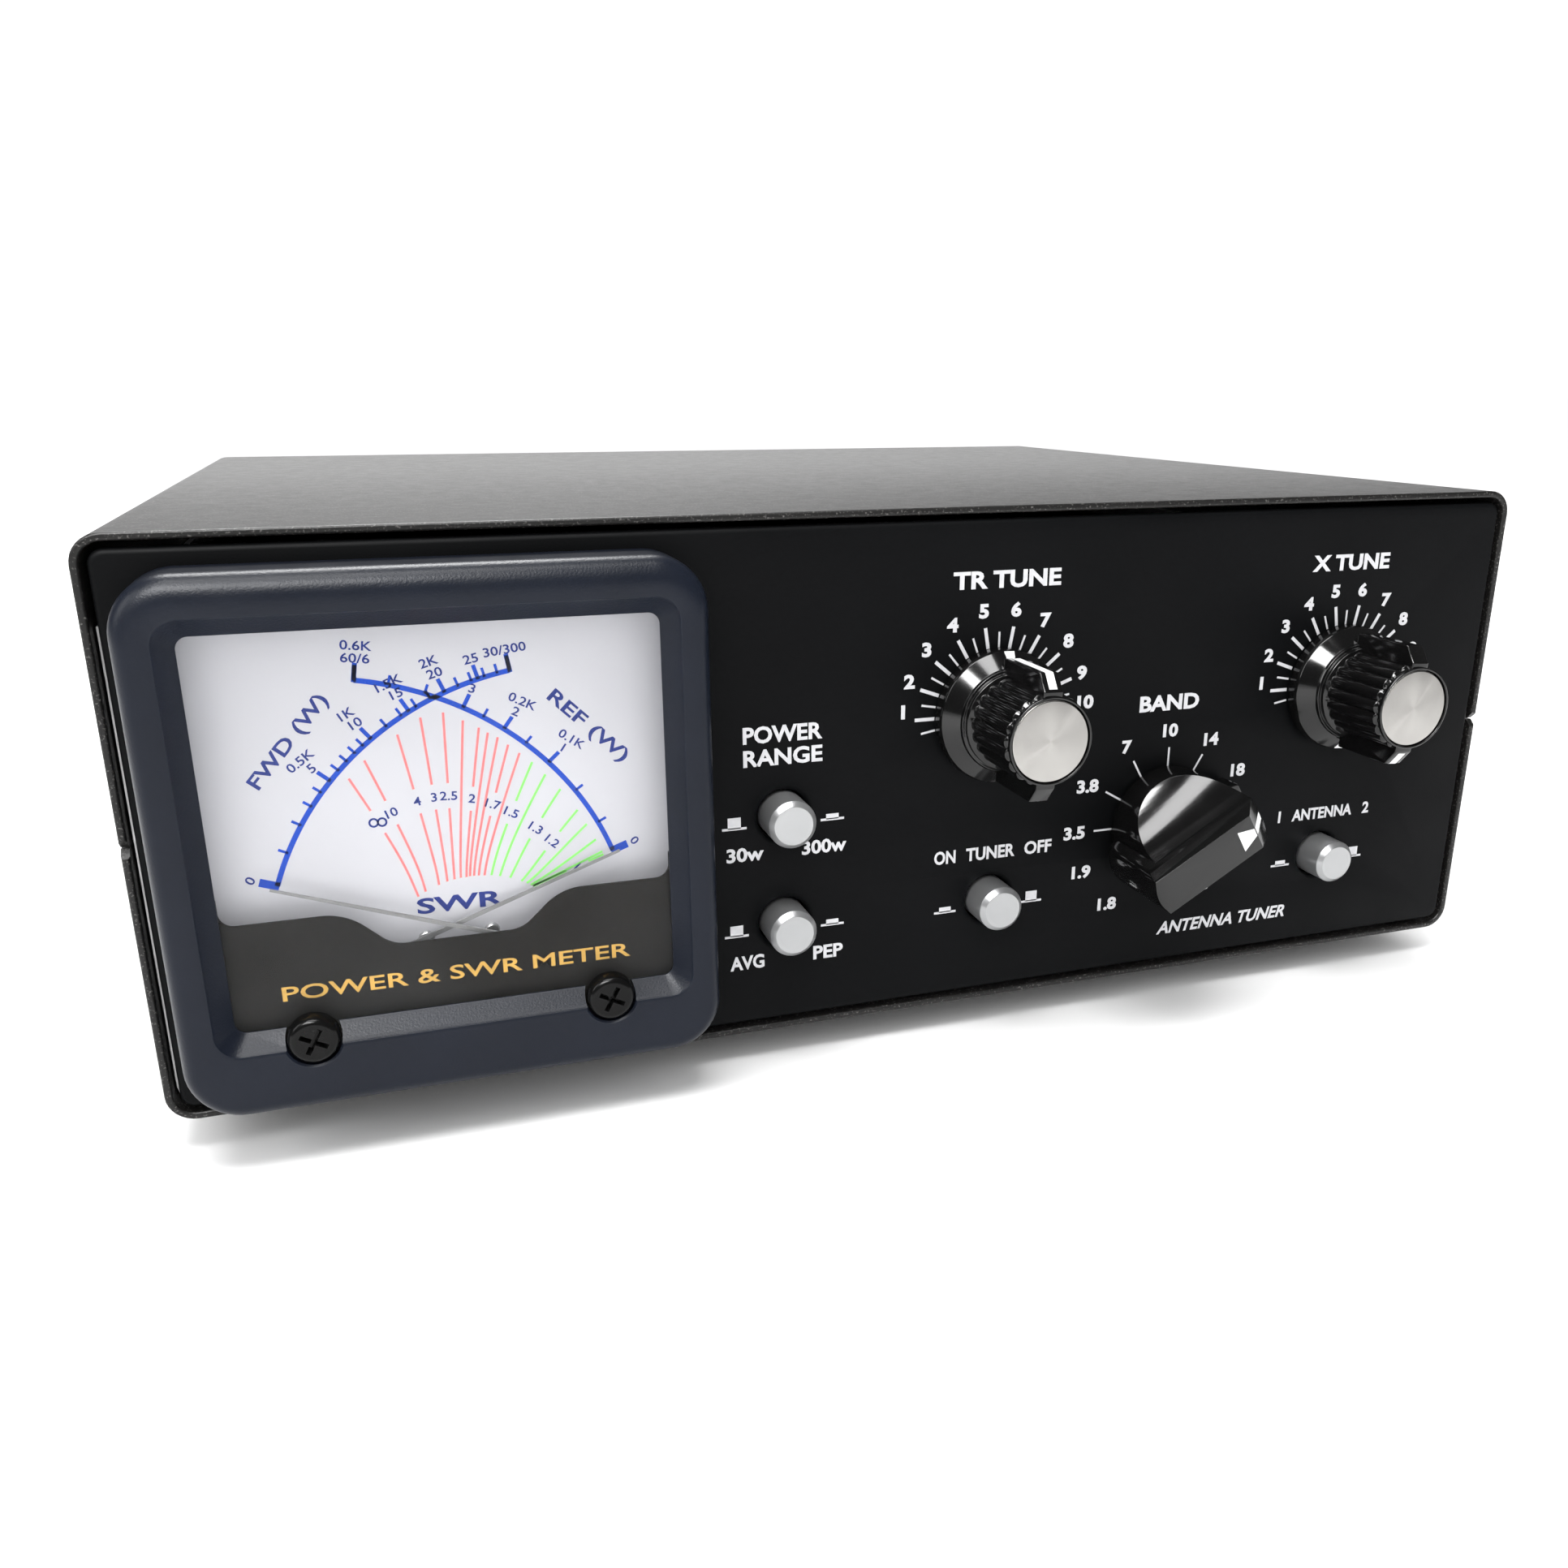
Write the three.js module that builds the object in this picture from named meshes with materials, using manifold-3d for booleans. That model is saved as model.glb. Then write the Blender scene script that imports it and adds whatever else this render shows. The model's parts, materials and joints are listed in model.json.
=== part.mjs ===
// A desktop antenna tuner: a two-shell metal case with a cross-needle power meter, two tuning
// knobs on variable capacitors, a band switch, four push buttons and a rear row of coaxial jacks.
// Millimetres, +Z up, front face towards -Y. The pieces are drawn in case coordinates: x = 0 on
// the centre line, y = 0 on the face of the front panel, z = 0 on the underside of the case.
import * as THREE from 'three';
import { mergeVertices } from 'three/addons/utils/BufferGeometryUtils.js';
import Module from 'manifold-3d';

const wasm = await Module();
wasm.setup();

// ---- Case ----
const CASE_WIDTH = 250;
const CASE_HEIGHT = 91.3;
const CASE_DEPTH = 204.2;
const CASE_CORNER = 4.5;
const SHEET = 1.2;
const SEAM_Z = CASE_HEIGHT / 2;
const SEAM_GAP = 0.3;
const SEAM_NOTCH = 1.4;
const PANEL_INSET = 2.2;
const FRONT_PANEL_THICKNESS = 3;
const REAR_PANEL_THICKNESS = 1.5;
const REAR_PANEL_FRONT = CASE_DEPTH - 2.7;
const TRAY_CLEARANCE = 1.5;
const TRAY_TOP = 78;
const TRAY_FLOOR_TOP = TRAY_CLEARANCE + SHEET;
const TRAY_FLANGE_TOP = 9;
const TRAY_GAP = 0.3;
const TRAY_CORNER = 3;
const TRAY_FLANGE_INSET = 4;
const OVERCUT = 1;
const HOLE_CLEARANCE = 0.3;

// ---- Feet and cover screws ----
const FOOT_HEIGHT = 5.5;
const FOOT_RADIUS = 8;
const FOOT_TIP_RADIUS = 7;
const FOOT_X = 100;
const FOOT_Y = [26, 180];
const FOOT_BORE = { radius: 2, wide: 4, depth: 2.5 };
const SCREW_HOLE_RADIUS = 1.8;
const SCREW_RADIUS = 1.5;
const SCREW_HEAD_RADIUS = 3;
const SCREW_HEAD_HEIGHT = 1.4;
const SCREW_HEAD_DOME = { start: 0.4, top: 0.6 };
const SCREW_LENGTH = 6;
const SCREW_Y = [30, 175];
const TOP_SCREW_Z = 62;
const BOTTOM_SCREW_Z = 28;

// ---- Meter ----
const METER_X = -78.8;
const BEZEL = { x: -79, z: 45.4, width: 82.6, height: 82.2, corner: 8.5, lip: 11, roll: 2.2 };
const OPENING = { z: 47.7, width: 67.1, height: 60.2, flare: 2.6, corner: 1.8 };
const WINDOW = { z: 46.8, width: 74, height: 68.4, front: -8, back: -6.5 };
const MASK = { back: -6.1, shoulder: 34.2, dip: 28.2, dipHalf: 8.6, slopeHalf: 17.5 };
const SCALE_PLATE = { front: -2, back: -1.2 };
const REBATE_CLEARANCE = 0.4;
const METER_CASE = { z: 47.2, width: 72, height: 66, front: -1, back: 31, wall: 1.6 };
const METER_HOLE_MARGIN = 1;
const LAMP = {
  drop: 8, tip: 12, tipRadius: 1.6, tipEnd: 12.6, radius: 2.4, shoulder: 15, base: 22, baseRadius: 3.4,
  gap: 0.2,
};
const PIVOT_SPREAD = 19;
const PIVOT_Z = 22.5;
const NEEDLE_LENGTH = 48.2;
const NEEDLE_TAIL = 6;
const NEEDLE_ZERO_ANGLE = 70.5;
const NEEDLE_THICKNESS = 0.4;
const NEEDLE_HALF = { tail: 0.9, hub: 0.45, tip: 0.18 };
const NEEDLE_HUB = { radius: 1.6, depth: 0.8 };
const STAFF_CLEARANCE = 1;
const NEEDLE_LEVELS = { forward: -4.6, reflected: -3.6 };
const STAFF_RADIUS = 0.8;
const MOVING_COIL = { radius: 3.8, front: 5, back: 14 };
const MAGNET = { outer: 6.4, inner: 4.5, front: 4, bore: 16, back: 28 };
const YOKE = { thickness: 3, half: 4 };
const ADJUSTER = { spread: 22.65, z: 16, headRadius: 3.75, head: -11.4, seat: -8.4, stem: 1.3 };
const ADJUSTER_CLEARANCE = 0.35;
const ADJUSTER_SLOT = { long: 2.4, short: 0.5, depth: 1 };
const ADJUSTER_CHAMFER = 0.8;
const ADJUSTER_STEM_BACK = 3.8;

// ---- Knobs and variable capacitors ----
const TUNING_Z = 55.3;
const TUNERS = [
  { name: 'transmitter', x: 16.1, pointer: 2 },
  { name: 'antenna', x: 89.4, pointer: 184 },
];
const KNOB_GAP = 0.6;
const KNOB_HEIGHT = 20.8;
const KNOB_SKIRT = { radius: 12, edge: 3, neck: 9.3, neckHeight: 5.3 };
const KNOB_BODY_RADIUS = 7.8;
const KNOB_RIM_RADIUS = 7.5;
const KNOB_RIM_CHAMFER = 0.6;
const RIDGE = {
  width: 3.5, root: 7.3, reach: 11, start: 5.6, shoulder: 18, top: 20.2, topReach: 8.2,
};
const CAP_RADIUS = 7;
const CAP_RECESS = { radius: 7.1, depth: 1.1 };
const CAP_THICKNESS = 0.8;
const CAP_CHAMFER = 0.3;
const CAP_GAP = 0.1;
const SHAFT_RADIUS = 3;
const SHAFT_BORE_RADIUS = 3.2;
const SHAFT_HOLE_RADIUS = 3.7;
const KNOB_BORE_END = 14;
const SHAFT_TIP = 13.5;
const SHAFT_OVERHANG = 3;
const VANE = {
  count: 5, first: 41, pitch: 7.2, thickness: 1, rotor: 16.5, stator: 19, hub: 6, steps: 10,
};
const STATOR_ROD = { radius: 1.2, hole: 1.6, orbit: 18.2, angle: 25, overhang: 1 };
const FRAME = {
  front: 34, back: 78, plate: 1.5, halfWidth: 18, halfHeight: 19, tab: 7, rod: 1.5, rodInset: 2,
};
const TIE_SEAT = { front: 0.5, back: 1 };

// ---- Band switch ----
const BAND = { x: 52.4, z: 31, pointer: 60 };
const BAND_KNOB = { radius: 11.6, height: 19.6, barHalf: 4.1, base: 3.2, scoop: 17, bevel: 0.4 };
const BAND_NOSE = { root: 6, reach: 14.6, half: 1, height: 5.7, slopeStart: 7.6, slopeDrop: 5 };
const BAND_TAIL = { root: 8, shoulder: 13.1, reach: 14.4, half: 4.6, tipHalf: 2.4 };
const BAND_SHAFT_TIP = 11;
const BAND_BORE_END = 11.6;
const BAND_BUSHING_RADIUS = 4.5;
const BAND_BUSHING_HOLE = 4.8;
const BAND_BUSHING_FRONT = 0.4;
const BAND_WASHER_RADIUS = 8.5;
const WAFERS = { count: 3, first: 22, pitch: 11, thickness: 1.2, radius: 16 };
const WAFER_ROTOR = { radius: 8, gap: 0.6, thickness: 0.8 };
const WAFER_ROD = { radius: 1.2, orbit: 11.2, overhang: 4 };
const DETENT_PLATE = { front: 6, back: 12, half: 13 };

// ---- Push buttons ----
const BUTTON_RADIUS = 4.2;
const BUTTON_REACH = 6;
const BUTTON_CHAMFER = 0.8;
const BUTTON_HOLE_RADIUS = 4.6;
const PLUNGER_RADIUS = 2;
const BUTTON_BACK = 4;
const PLUNGER_BACK = 14;
const SWITCH = { half: 6, back: 28, cupRadius: 4.7, cupBack: 9, boreRadius: 2.4, boreBack: 20 };
const BUTTONS = [
  { name: 'power_range', x: -23.4, z: 40.4 },
  { name: 'meter_mode', x: -23.4, z: 20.6 },
  { name: 'tuner_bypass', x: 16.1, z: 20 },
  { name: 'antenna_select', x: 89.4, z: 20.5 },
];

// ---- Inside ----
const COIL = { x0: 6, x1: 74, y: 130, z: 48, outer: 18, inner: 16, turns: 6 };
const COIL_GROOVE = { radius: 17, half: 1 };
const SADDLE = { x0: 14, x1: 66, half: 11, top: 38, gap: 0.4, trough: 200 };
const TROUGH_SEGMENTS = 40;
const BOARD = { x0: -105, x1: -25, y0: 95, y1: 185, z: 10, thickness: 1.6 };
const SPACER = { radius: 3, inset: 6, seat: 0.5 };
const TOROID = { x: -65, y: 150, outer: 12, inner: 6, height: 8, gap: 0.3 };

// ---- Rear connectors ----
const JACK_Z = 45;
const JACKS = [
  { name: 'transmitter', x: 78 },
  { name: 'antenna_1', x: 26 },
  { name: 'antenna_2', x: -26 },
];
const JACK = {
  flange: 25.4, corner: 2, flangeBack: 204.8, outer: 7.9, inner: 5.9, end: 221, hole: 6.4,
};
const INSERT = { radius: 5.7, front: 194, back: 207, contact: 2.4, bore: 1.9, end: 215 };
const DC_JACK = { x: -78, outer: 5.6, bore: 3.2, flange: 7.5, flangeBack: 205, end: 209, front: 192 };
const DC_PIN = { radius: 1.05, base: 195, end: 208 };
const GROUND = { x: -105, z: 24, radius: 2.4, head: 4.6, front: 198, end: 219, chamfer: 0.6 };
const GROUND_NUT = { radius: 6.5, bore: 2.7, front: 203.3, back: 212, chamfer: 1 };

const ROUND = 12;
const FINE = 24;
const COARSE = 8;
const CORNER_STEPS = 3;
const BEZEL_CORNER_STEPS = 5;
const BEZEL_ROLL_STEPS = 2;
const CURVE_STEPS = 6;
const MASK_CURVE_STEPS = 8;
const SCOOP_SEGMENTS = 40;
const SCOOP_LENGTH = 60;
const SQUARE = 4;
const HEXAGON = 6;
const MERGE_DISTANCE = 1e-4;
const FLARE_OVERLAP = 0.05;

// ---- Finishes ----
const FINISH = {
  cover: { color: 0x4b4947, roughness: 0.75, metalness: 0.2 },
  panel: { color: 0x1b1c1e, roughness: 0.55, metalness: 0.1 },
  plated: { color: 0xb9bbbd, roughness: 0.35, metalness: 0.9 },
  bezel: { color: 0x2b303c, roughness: 0.45, metalness: 0 },
  window: { color: 0xe8eef2, roughness: 0.05, metalness: 0 },
  mask: { color: 0x241f17, roughness: 0.5, metalness: 0 },
  dial: { color: 0xf1f1f4, roughness: 0.6, metalness: 0 },
  black: { color: 0x101012, roughness: 0.25, metalness: 0 },
  spun: { color: 0xdcdcdc, roughness: 0.25, metalness: 1 },
  silver: { color: 0xc9c9cb, roughness: 0.3, metalness: 0.8 },
  rubber: { color: 0x151515, roughness: 0.9, metalness: 0 },
  brass: { color: 0xb99a5a, roughness: 0.35, metalness: 0.9 },
  copper: { color: 0xb5703c, roughness: 0.35, metalness: 0.9 },
  resin: { color: 0xd9cfae, roughness: 0.6, metalness: 0 },
  board: { color: 0x1d5a35, roughness: 0.5, metalness: 0 },
};

// A closed mesh becomes a solid: its shared corners are merged and flat triangles dropped.
function solid(geometry) {
  const bare = geometry.clone();
  bare.deleteAttribute('normal');
  bare.deleteAttribute('uv');
  const merged = mergeVertices(bare, MERGE_DISTANCE);
  const index = merged.index.array;
  const corners = [];
  for (let i = 0; i < index.length; i += 3) {
    const [a, b, c] = [index[i], index[i + 1], index[i + 2]];
    if (a !== b && b !== c && c !== a) corners.push(a, b, c);
  }
  return new wasm.Manifold(new wasm.Mesh({
    numProp: 3,
    vertProperties: new Float32Array(merged.attributes.position.array),
    triVerts: new Uint32Array(corners),
  }));
}

// A solid becomes a mesh geometry again.
function geometryOf(body) {
  const mesh = body.getMesh();
  const geometry = new THREE.BufferGeometry();
  geometry.setAttribute('position', new THREE.BufferAttribute(mesh.vertProperties, 3));
  geometry.setIndex(new THREE.BufferAttribute(mesh.triVerts, 1));
  geometry.computeVertexNormals();
  return geometry;
}

const join = (first, ...rest) => rest.reduce((sum, item) => sum.add(solid(item)), solid(first));
const cut = (body, ...tools) => tools.reduce((left, tool) => left.subtract(solid(tool)), body);

function box(x0, x1, y0, y1, z0, z1) {
  const geometry = new THREE.BoxGeometry(x1 - x0, y1 - y0, z1 - z0);
  return geometry.translate((x0 + x1) / 2, (y0 + y1) / 2, (z0 + z1) / 2);
}

// A round bar along Y.
function bar(x, z, radius, y0, y1, segments = ROUND) {
  const geometry = new THREE.CylinderGeometry(radius, radius, y1 - y0, segments);
  return geometry.translate(x, (y0 + y1) / 2, z);
}

// A shape drawn in x and z becomes a plate between two values of y.
function plate(shape, y0, y1, curveSegments = CURVE_STEPS) {
  const settings = { depth: y1 - y0, bevelEnabled: false, curveSegments };
  return new THREE.ExtrudeGeometry(shape, settings).rotateX(Math.PI / 2).translate(0, y1, 0);
}

// A side view of [height, z] corners becomes a plate centred on x = 0, with its height towards -Y.
function sidePlate(corners, half) {
  const settings = { depth: 2 * half, bevelEnabled: false };
  return new THREE.ExtrudeGeometry(polygon(corners), settings).translate(0, 0, -half)
    .rotateX(Math.PI / 2).rotateZ(-Math.PI / 2);
}

// A profile of [radius, y] corners is turned about the Y axis through (x, z).
function turned(corners, x, z, segments = ROUND) {
  const profile = corners.map(([radius, y]) => new THREE.Vector2(radius, y));
  return new THREE.LatheGeometry(profile, segments).translate(x, 0, z);
}

// The outline of a rounded rectangle, with a few straight steps round each corner.
function roundedRect(x, z, width, height, radius, steps = CORNER_STEPS) {
  const corners = [[1, 1], [-1, 1], [-1, -1], [1, -1]];
  const points = corners.flatMap(([sx, sz], quarter) => {
    const centre = [x + sx * (width / 2 - radius), z + sz * (height / 2 - radius)];
    return Array.from({ length: steps + 1 }, (_, step) => {
      const angle = (quarter + step / steps) * Math.PI / 2;
      return new THREE.Vector2(
        centre[0] + radius * Math.cos(angle), centre[1] + radius * Math.sin(angle),
      );
    });
  });
  return new THREE.Shape(points);
}

function circle(x, z, radius, steps = ROUND) {
  return new THREE.Shape(Array.from({ length: steps }, (_, step) => {
    const angle = 2 * Math.PI * step / steps;
    return new THREE.Vector2(x + radius * Math.cos(angle), z + radius * Math.sin(angle));
  }));
}

function polygon(corners) {
  return new THREE.Shape(corners.map(([x, z]) => new THREE.Vector2(x, z)));
}

// The case outline moved in from its outer face by a distance.
function caseOutline(inset) {
  const radius = CASE_CORNER - inset;
  return roundedRect(0, SEAM_Z, CASE_WIDTH - 2 * inset, CASE_HEIGHT - 2 * inset, radius);
}

// ---- Assembly ----
const REAR_END = JACK.end;
const tuner = new THREE.Group();
const assembly = new THREE.Group();
assembly.position.set(0, (KNOB_HEIGHT - REAR_END) / 2, FOOT_HEIGHT);
tuner.add(assembly);

function add(name, shape, finish, group = assembly) {
  const geometry = shape.isBufferGeometry ? shape : geometryOf(shape);
  const mesh = new THREE.Mesh(geometry, new THREE.MeshStandardMaterial(FINISH[finish]));
  mesh.name = name;
  group.add(mesh);
}

// A group that stands on a shaft and is turned to its pointer, clockwise from straight up.
function turnedGroup(x, z, degrees) {
  const group = new THREE.Group();
  group.position.set(x, 0, z);
  group.rotation.y = THREE.MathUtils.degToRad(degrees);
  assembly.add(group);
  return group;
}

// ---- Case pieces ----
function makeCovers() {
  const ring = caseOutline(0);
  ring.holes.push(caseOutline(SHEET));
  const sleeve = solid(plate(ring, 0, CASE_DEPTH));
  const half = CASE_WIDTH / 2 + OVERCUT;
  const notches = [0, CASE_DEPTH].map((y) => new THREE.CylinderGeometry(
    SEAM_NOTCH, SEAM_NOTCH, 2 * half, SQUARE,
  ).rotateZ(Math.PI / 2).translate(0, y, SEAM_Z));
  const holes = (heights) => heights.map(([y, z]) => new THREE.CylinderGeometry(
    SCREW_HOLE_RADIUS, SCREW_HOLE_RADIUS, 2 * half, COARSE,
  ).rotateZ(Math.PI / 2).translate(0, y, z));
  const far = CASE_DEPTH + OVERCUT;
  const roof = CASE_HEIGHT + OVERCUT;
  const below = box(-half, half, -OVERCUT, far, -OVERCUT, SEAM_Z + SEAM_GAP / 2);
  const above = box(-half, half, -OVERCUT, far, SEAM_Z - SEAM_GAP / 2, roof);
  const topHoles = holes(SCREW_Y.map((y) => [y, TOP_SCREW_Z]));
  const bottomHoles = holes([[SCREW_Y[1], BOTTOM_SCREW_Z]]);
  add('top_cover', cut(sleeve, below, ...notches, ...topHoles), 'cover');
  add('bottom_cover', cut(sleeve, above, ...notches, ...bottomHoles), 'cover');
  return [...topHoles, ...bottomHoles];
}

function makeTray(screwHoles) {
  const width = CASE_WIDTH - 2 * TRAY_CLEARANCE;
  const middle = TRAY_CLEARANCE + CASE_HEIGHT / 2;
  const outer = roundedRect(0, middle, width, CASE_HEIGHT, TRAY_CORNER);
  outer.holes.push(roundedRect(
    0, middle, width - 2 * SHEET, CASE_HEIGHT - 2 * SHEET, TRAY_CORNER - SHEET,
  ));
  const front = FRONT_PANEL_THICKNESS + TRAY_GAP;
  const back = REAR_PANEL_FRONT - TRAY_GAP;
  const half = CASE_WIDTH / 2 - TRAY_CLEARANCE - TRAY_FLANGE_INSET;
  const floor = TRAY_CLEARANCE + SHEET / 2;
  const sides = solid(plate(outer, front, back));
  const open = box(-CASE_WIDTH, CASE_WIDTH, 0, CASE_DEPTH, TRAY_TOP, 2 * CASE_HEIGHT);
  const tray = cut(sides, open)
    .add(solid(box(-half, half, front, front + SHEET, floor, TRAY_FLANGE_TOP)))
    .add(solid(box(-half, half, back - SHEET, back, floor, TRAY_FLANGE_TOP)));
  add('chassis', cut(tray, ...screwHoles), 'plated');
}

function makeCoverScrews() {
  const places = [[SCREW_Y[0], TOP_SCREW_Z, 'top_cover_screw_front'],
    [SCREW_Y[1], TOP_SCREW_Z, 'top_cover_screw_rear'],
    [SCREW_Y[1], BOTTOM_SCREW_Z, 'bottom_cover_screw']];
  for (const [side, label] of [[-1, 'left'], [1, 'right']]) {
    for (const [y, z, name] of places) {
      const profile = [[0, -SCREW_LENGTH], [SCREW_RADIUS, -SCREW_LENGTH], [SCREW_RADIUS, 0],
        [SCREW_HEAD_RADIUS, 0], [SCREW_HEAD_RADIUS, SCREW_HEAD_HEIGHT * SCREW_HEAD_DOME.start],
        [SCREW_HEAD_RADIUS * SCREW_HEAD_DOME.top, SCREW_HEAD_HEIGHT], [0, SCREW_HEAD_HEIGHT]];
      const screw = turned(profile, 0, 0, COARSE).rotateZ(-side * Math.PI / 2);
      add(`${name}_${label}`, screw.translate(side * CASE_WIDTH / 2, y, z), 'plated');
    }
  }
}

function makeFeet() {
  const { radius, wide, depth } = FOOT_BORE;
  const seat = -FOOT_HEIGHT + depth;
  const profile = [[radius, 0], [radius, seat], [wide, seat], [wide, -FOOT_HEIGHT],
    [FOOT_TIP_RADIUS, -FOOT_HEIGHT], [FOOT_RADIUS, 0], [radius, 0]];
  for (const [sideX, labelX] of [[-1, 'left'], [1, 'right']]) {
    FOOT_Y.forEach((y, i) => {
      const foot = turned(profile, 0, 0).rotateX(Math.PI / 2);
      const name = `foot_${i ? 'rear' : 'front'}_${labelX}`;
      add(name, foot.translate(sideX * FOOT_X, y, 0), 'rubber');
    });
  }
}

function makeFrontPanel() {
  const outline = caseOutline(PANEL_INSET);
  outline.holes.push(roundedRect(METER_X, METER_CASE.z, METER_CASE.width + METER_HOLE_MARGIN,
    METER_CASE.height + METER_HOLE_MARGIN, METER_HOLE_MARGIN));
  const hole = (x, z, radius) => outline.holes.push(circle(x, z, radius));
  TUNERS.forEach((tune) => hole(tune.x, TUNING_Z, SHAFT_HOLE_RADIUS));
  BUTTONS.forEach((button) => hole(button.x, button.z, BUTTON_HOLE_RADIUS));
  hole(BAND.x, BAND.z, BAND_BUSHING_HOLE);
  add('front_panel', plate(outline, 0, FRONT_PANEL_THICKNESS), 'panel');
}

function makeRearPanel() {
  const outline = caseOutline(PANEL_INSET);
  const hole = (x, z, radius) => outline.holes.push(circle(x, z, radius));
  JACKS.forEach((jack) => hole(jack.x, JACK_Z, JACK.hole));
  hole(DC_JACK.x, JACK_Z, DC_JACK.outer + HOLE_CLEARANCE);
  hole(GROUND.x, GROUND.z, GROUND.radius + HOLE_CLEARANCE);
  const back = REAR_PANEL_FRONT + REAR_PANEL_THICKNESS;
  add('rear_panel', plate(outline, REAR_PANEL_FRONT, back), 'panel');
}

// ---- Meter ----
const pivotX = { forward: METER_X + PIVOT_SPREAD, reflected: METER_X - PIVOT_SPREAD };
const adjusterX = { forward: METER_X - ADJUSTER.spread, reflected: METER_X + ADJUSTER.spread };

// The flared opening narrows from the lip of the bezel to the window.
function openingFlare() {
  const shape = roundedRect(METER_X, OPENING.z, OPENING.width, OPENING.height, OPENING.corner);
  const depth = WINDOW.front + BEZEL.lip + FLARE_OVERLAP;
  const settings = {
    depth: OVERCUT, bevelThickness: depth, bevelSize: OPENING.flare, bevelSegments: 1,
  };
  const flare = new THREE.ExtrudeGeometry(shape, settings).rotateX(Math.PI / 2);
  return flare.translate(0, -BEZEL.lip, 0);
}

function makeBezel() {
  const shape = roundedRect(
    BEZEL.x, BEZEL.z, BEZEL.width, BEZEL.height, BEZEL.corner, BEZEL_CORNER_STEPS,
  );
  const settings = {
    depth: BEZEL.lip, bevelThickness: BEZEL.roll, bevelSize: BEZEL.roll,
    bevelOffset: -BEZEL.roll, bevelSegments: BEZEL_ROLL_STEPS,
  };
  const block = new THREE.ExtrudeGeometry(shape, settings).rotateX(Math.PI / 2)
    .translate(0, BEZEL.roll, 0);
  const halfWidth = WINDOW.width / 2 + REBATE_CLEARANCE;
  const halfHeight = WINDOW.height / 2 + REBATE_CLEARANCE;
  const rebate = box(METER_X - halfWidth, METER_X + halfWidth, WINDOW.front, BEZEL.lip,
    WINDOW.z - halfHeight, WINDOW.z + halfHeight);
  const recesses = Object.values(adjusterX).map((x) => bar(
    x, ADJUSTER.z, ADJUSTER.headRadius + ADJUSTER_CLEARANCE, -BEZEL.lip - OVERCUT,
    WINDOW.front + OVERCUT,
  ));
  const back = box(-CASE_WIDTH, CASE_WIDTH, 0, 2 * BEZEL.lip, -CASE_HEIGHT, 2 * CASE_HEIGHT);
  const body = cut(solid(block), back, rebate, openingFlare(), ...recesses);
  add('meter_bezel', body, 'bezel');
}

function meterSheet(front, back) {
  const halfWidth = WINDOW.width / 2;
  const halfHeight = WINDOW.height / 2;
  return box(METER_X - halfWidth, METER_X + halfWidth, front, back,
    WINDOW.z - halfHeight, WINDOW.z + halfHeight);
}

function adjusterHoles() {
  return Object.values(adjusterX).map((x) => bar(
    x, ADJUSTER.z, ADJUSTER.stem + ADJUSTER_CLEARANCE, 2 * WINDOW.front, METER_CASE.back, COARSE,
  ));
}

function makeWindowAndMask() {
  const sheet = solid(meterSheet(WINDOW.front, WINDOW.back));
  add('meter_window', cut(sheet, ...adjusterHoles()), 'window');
  const bottom = WINDOW.z - WINDOW.height / 2;
  const half = WINDOW.width / 2;
  const outline = new THREE.Shape();
  outline.moveTo(METER_X - half, bottom);
  outline.lineTo(METER_X + half, bottom);
  outline.lineTo(METER_X + half, MASK.shoulder);
  outline.lineTo(METER_X + MASK.slopeHalf, MASK.shoulder);
  const bend = (MASK.slopeHalf + MASK.dipHalf) / 2;
  outline.bezierCurveTo(METER_X + bend, MASK.shoulder, METER_X + bend, MASK.dip,
    METER_X + MASK.dipHalf, MASK.dip);
  outline.lineTo(METER_X - MASK.dipHalf, MASK.dip);
  outline.bezierCurveTo(METER_X - bend, MASK.dip, METER_X - bend, MASK.shoulder,
    METER_X - MASK.slopeHalf, MASK.shoulder);
  outline.lineTo(METER_X - half, MASK.shoulder);
  const mask = solid(plate(outline, WINDOW.back, MASK.back, MASK_CURVE_STEPS));
  add('meter_mask', cut(mask, ...adjusterHoles()), 'mask');
}

function makeScalePlate() {
  const staffHoles = Object.values(pivotX).map((x) => bar(
    x, PIVOT_Z, STAFF_RADIUS + STAFF_CLEARANCE, 2 * SCALE_PLATE.front, 0, COARSE,
  ));
  const sheet = solid(meterSheet(SCALE_PLATE.front, SCALE_PLATE.back));
  add('meter_scale_plate', cut(sheet, ...staffHoles, ...adjusterHoles()), 'dial');
}

function makeMeterCase() {
  const { z, width, height, front, back, wall } = METER_CASE;
  const [halfWidth, halfHeight] = [width / 2, height / 2];
  const [clearWidth, clearHeight] = [halfWidth - wall, halfHeight - wall];
  const outer = box(METER_X - halfWidth, METER_X + halfWidth, front, back,
    z - halfHeight, z + halfHeight);
  const hollow = box(METER_X - clearWidth, METER_X + clearWidth, front - OVERCUT, back - wall,
    z - clearHeight, z + clearHeight);
  add('meter_case', cut(solid(outer), hollow, ...adjusterHoles()), 'black');
  const seat = back - wall - LAMP.gap;
  const profile = [[0, LAMP.tip], [LAMP.tipRadius, LAMP.tipEnd], [LAMP.radius, LAMP.shoulder],
    [LAMP.radius, LAMP.base], [LAMP.baseRadius, LAMP.base], [LAMP.baseRadius, seat], [0, seat]];
  add('meter_lamp', turned(profile, METER_X, z + halfHeight - LAMP.drop, COARSE), 'window');
}

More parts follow.
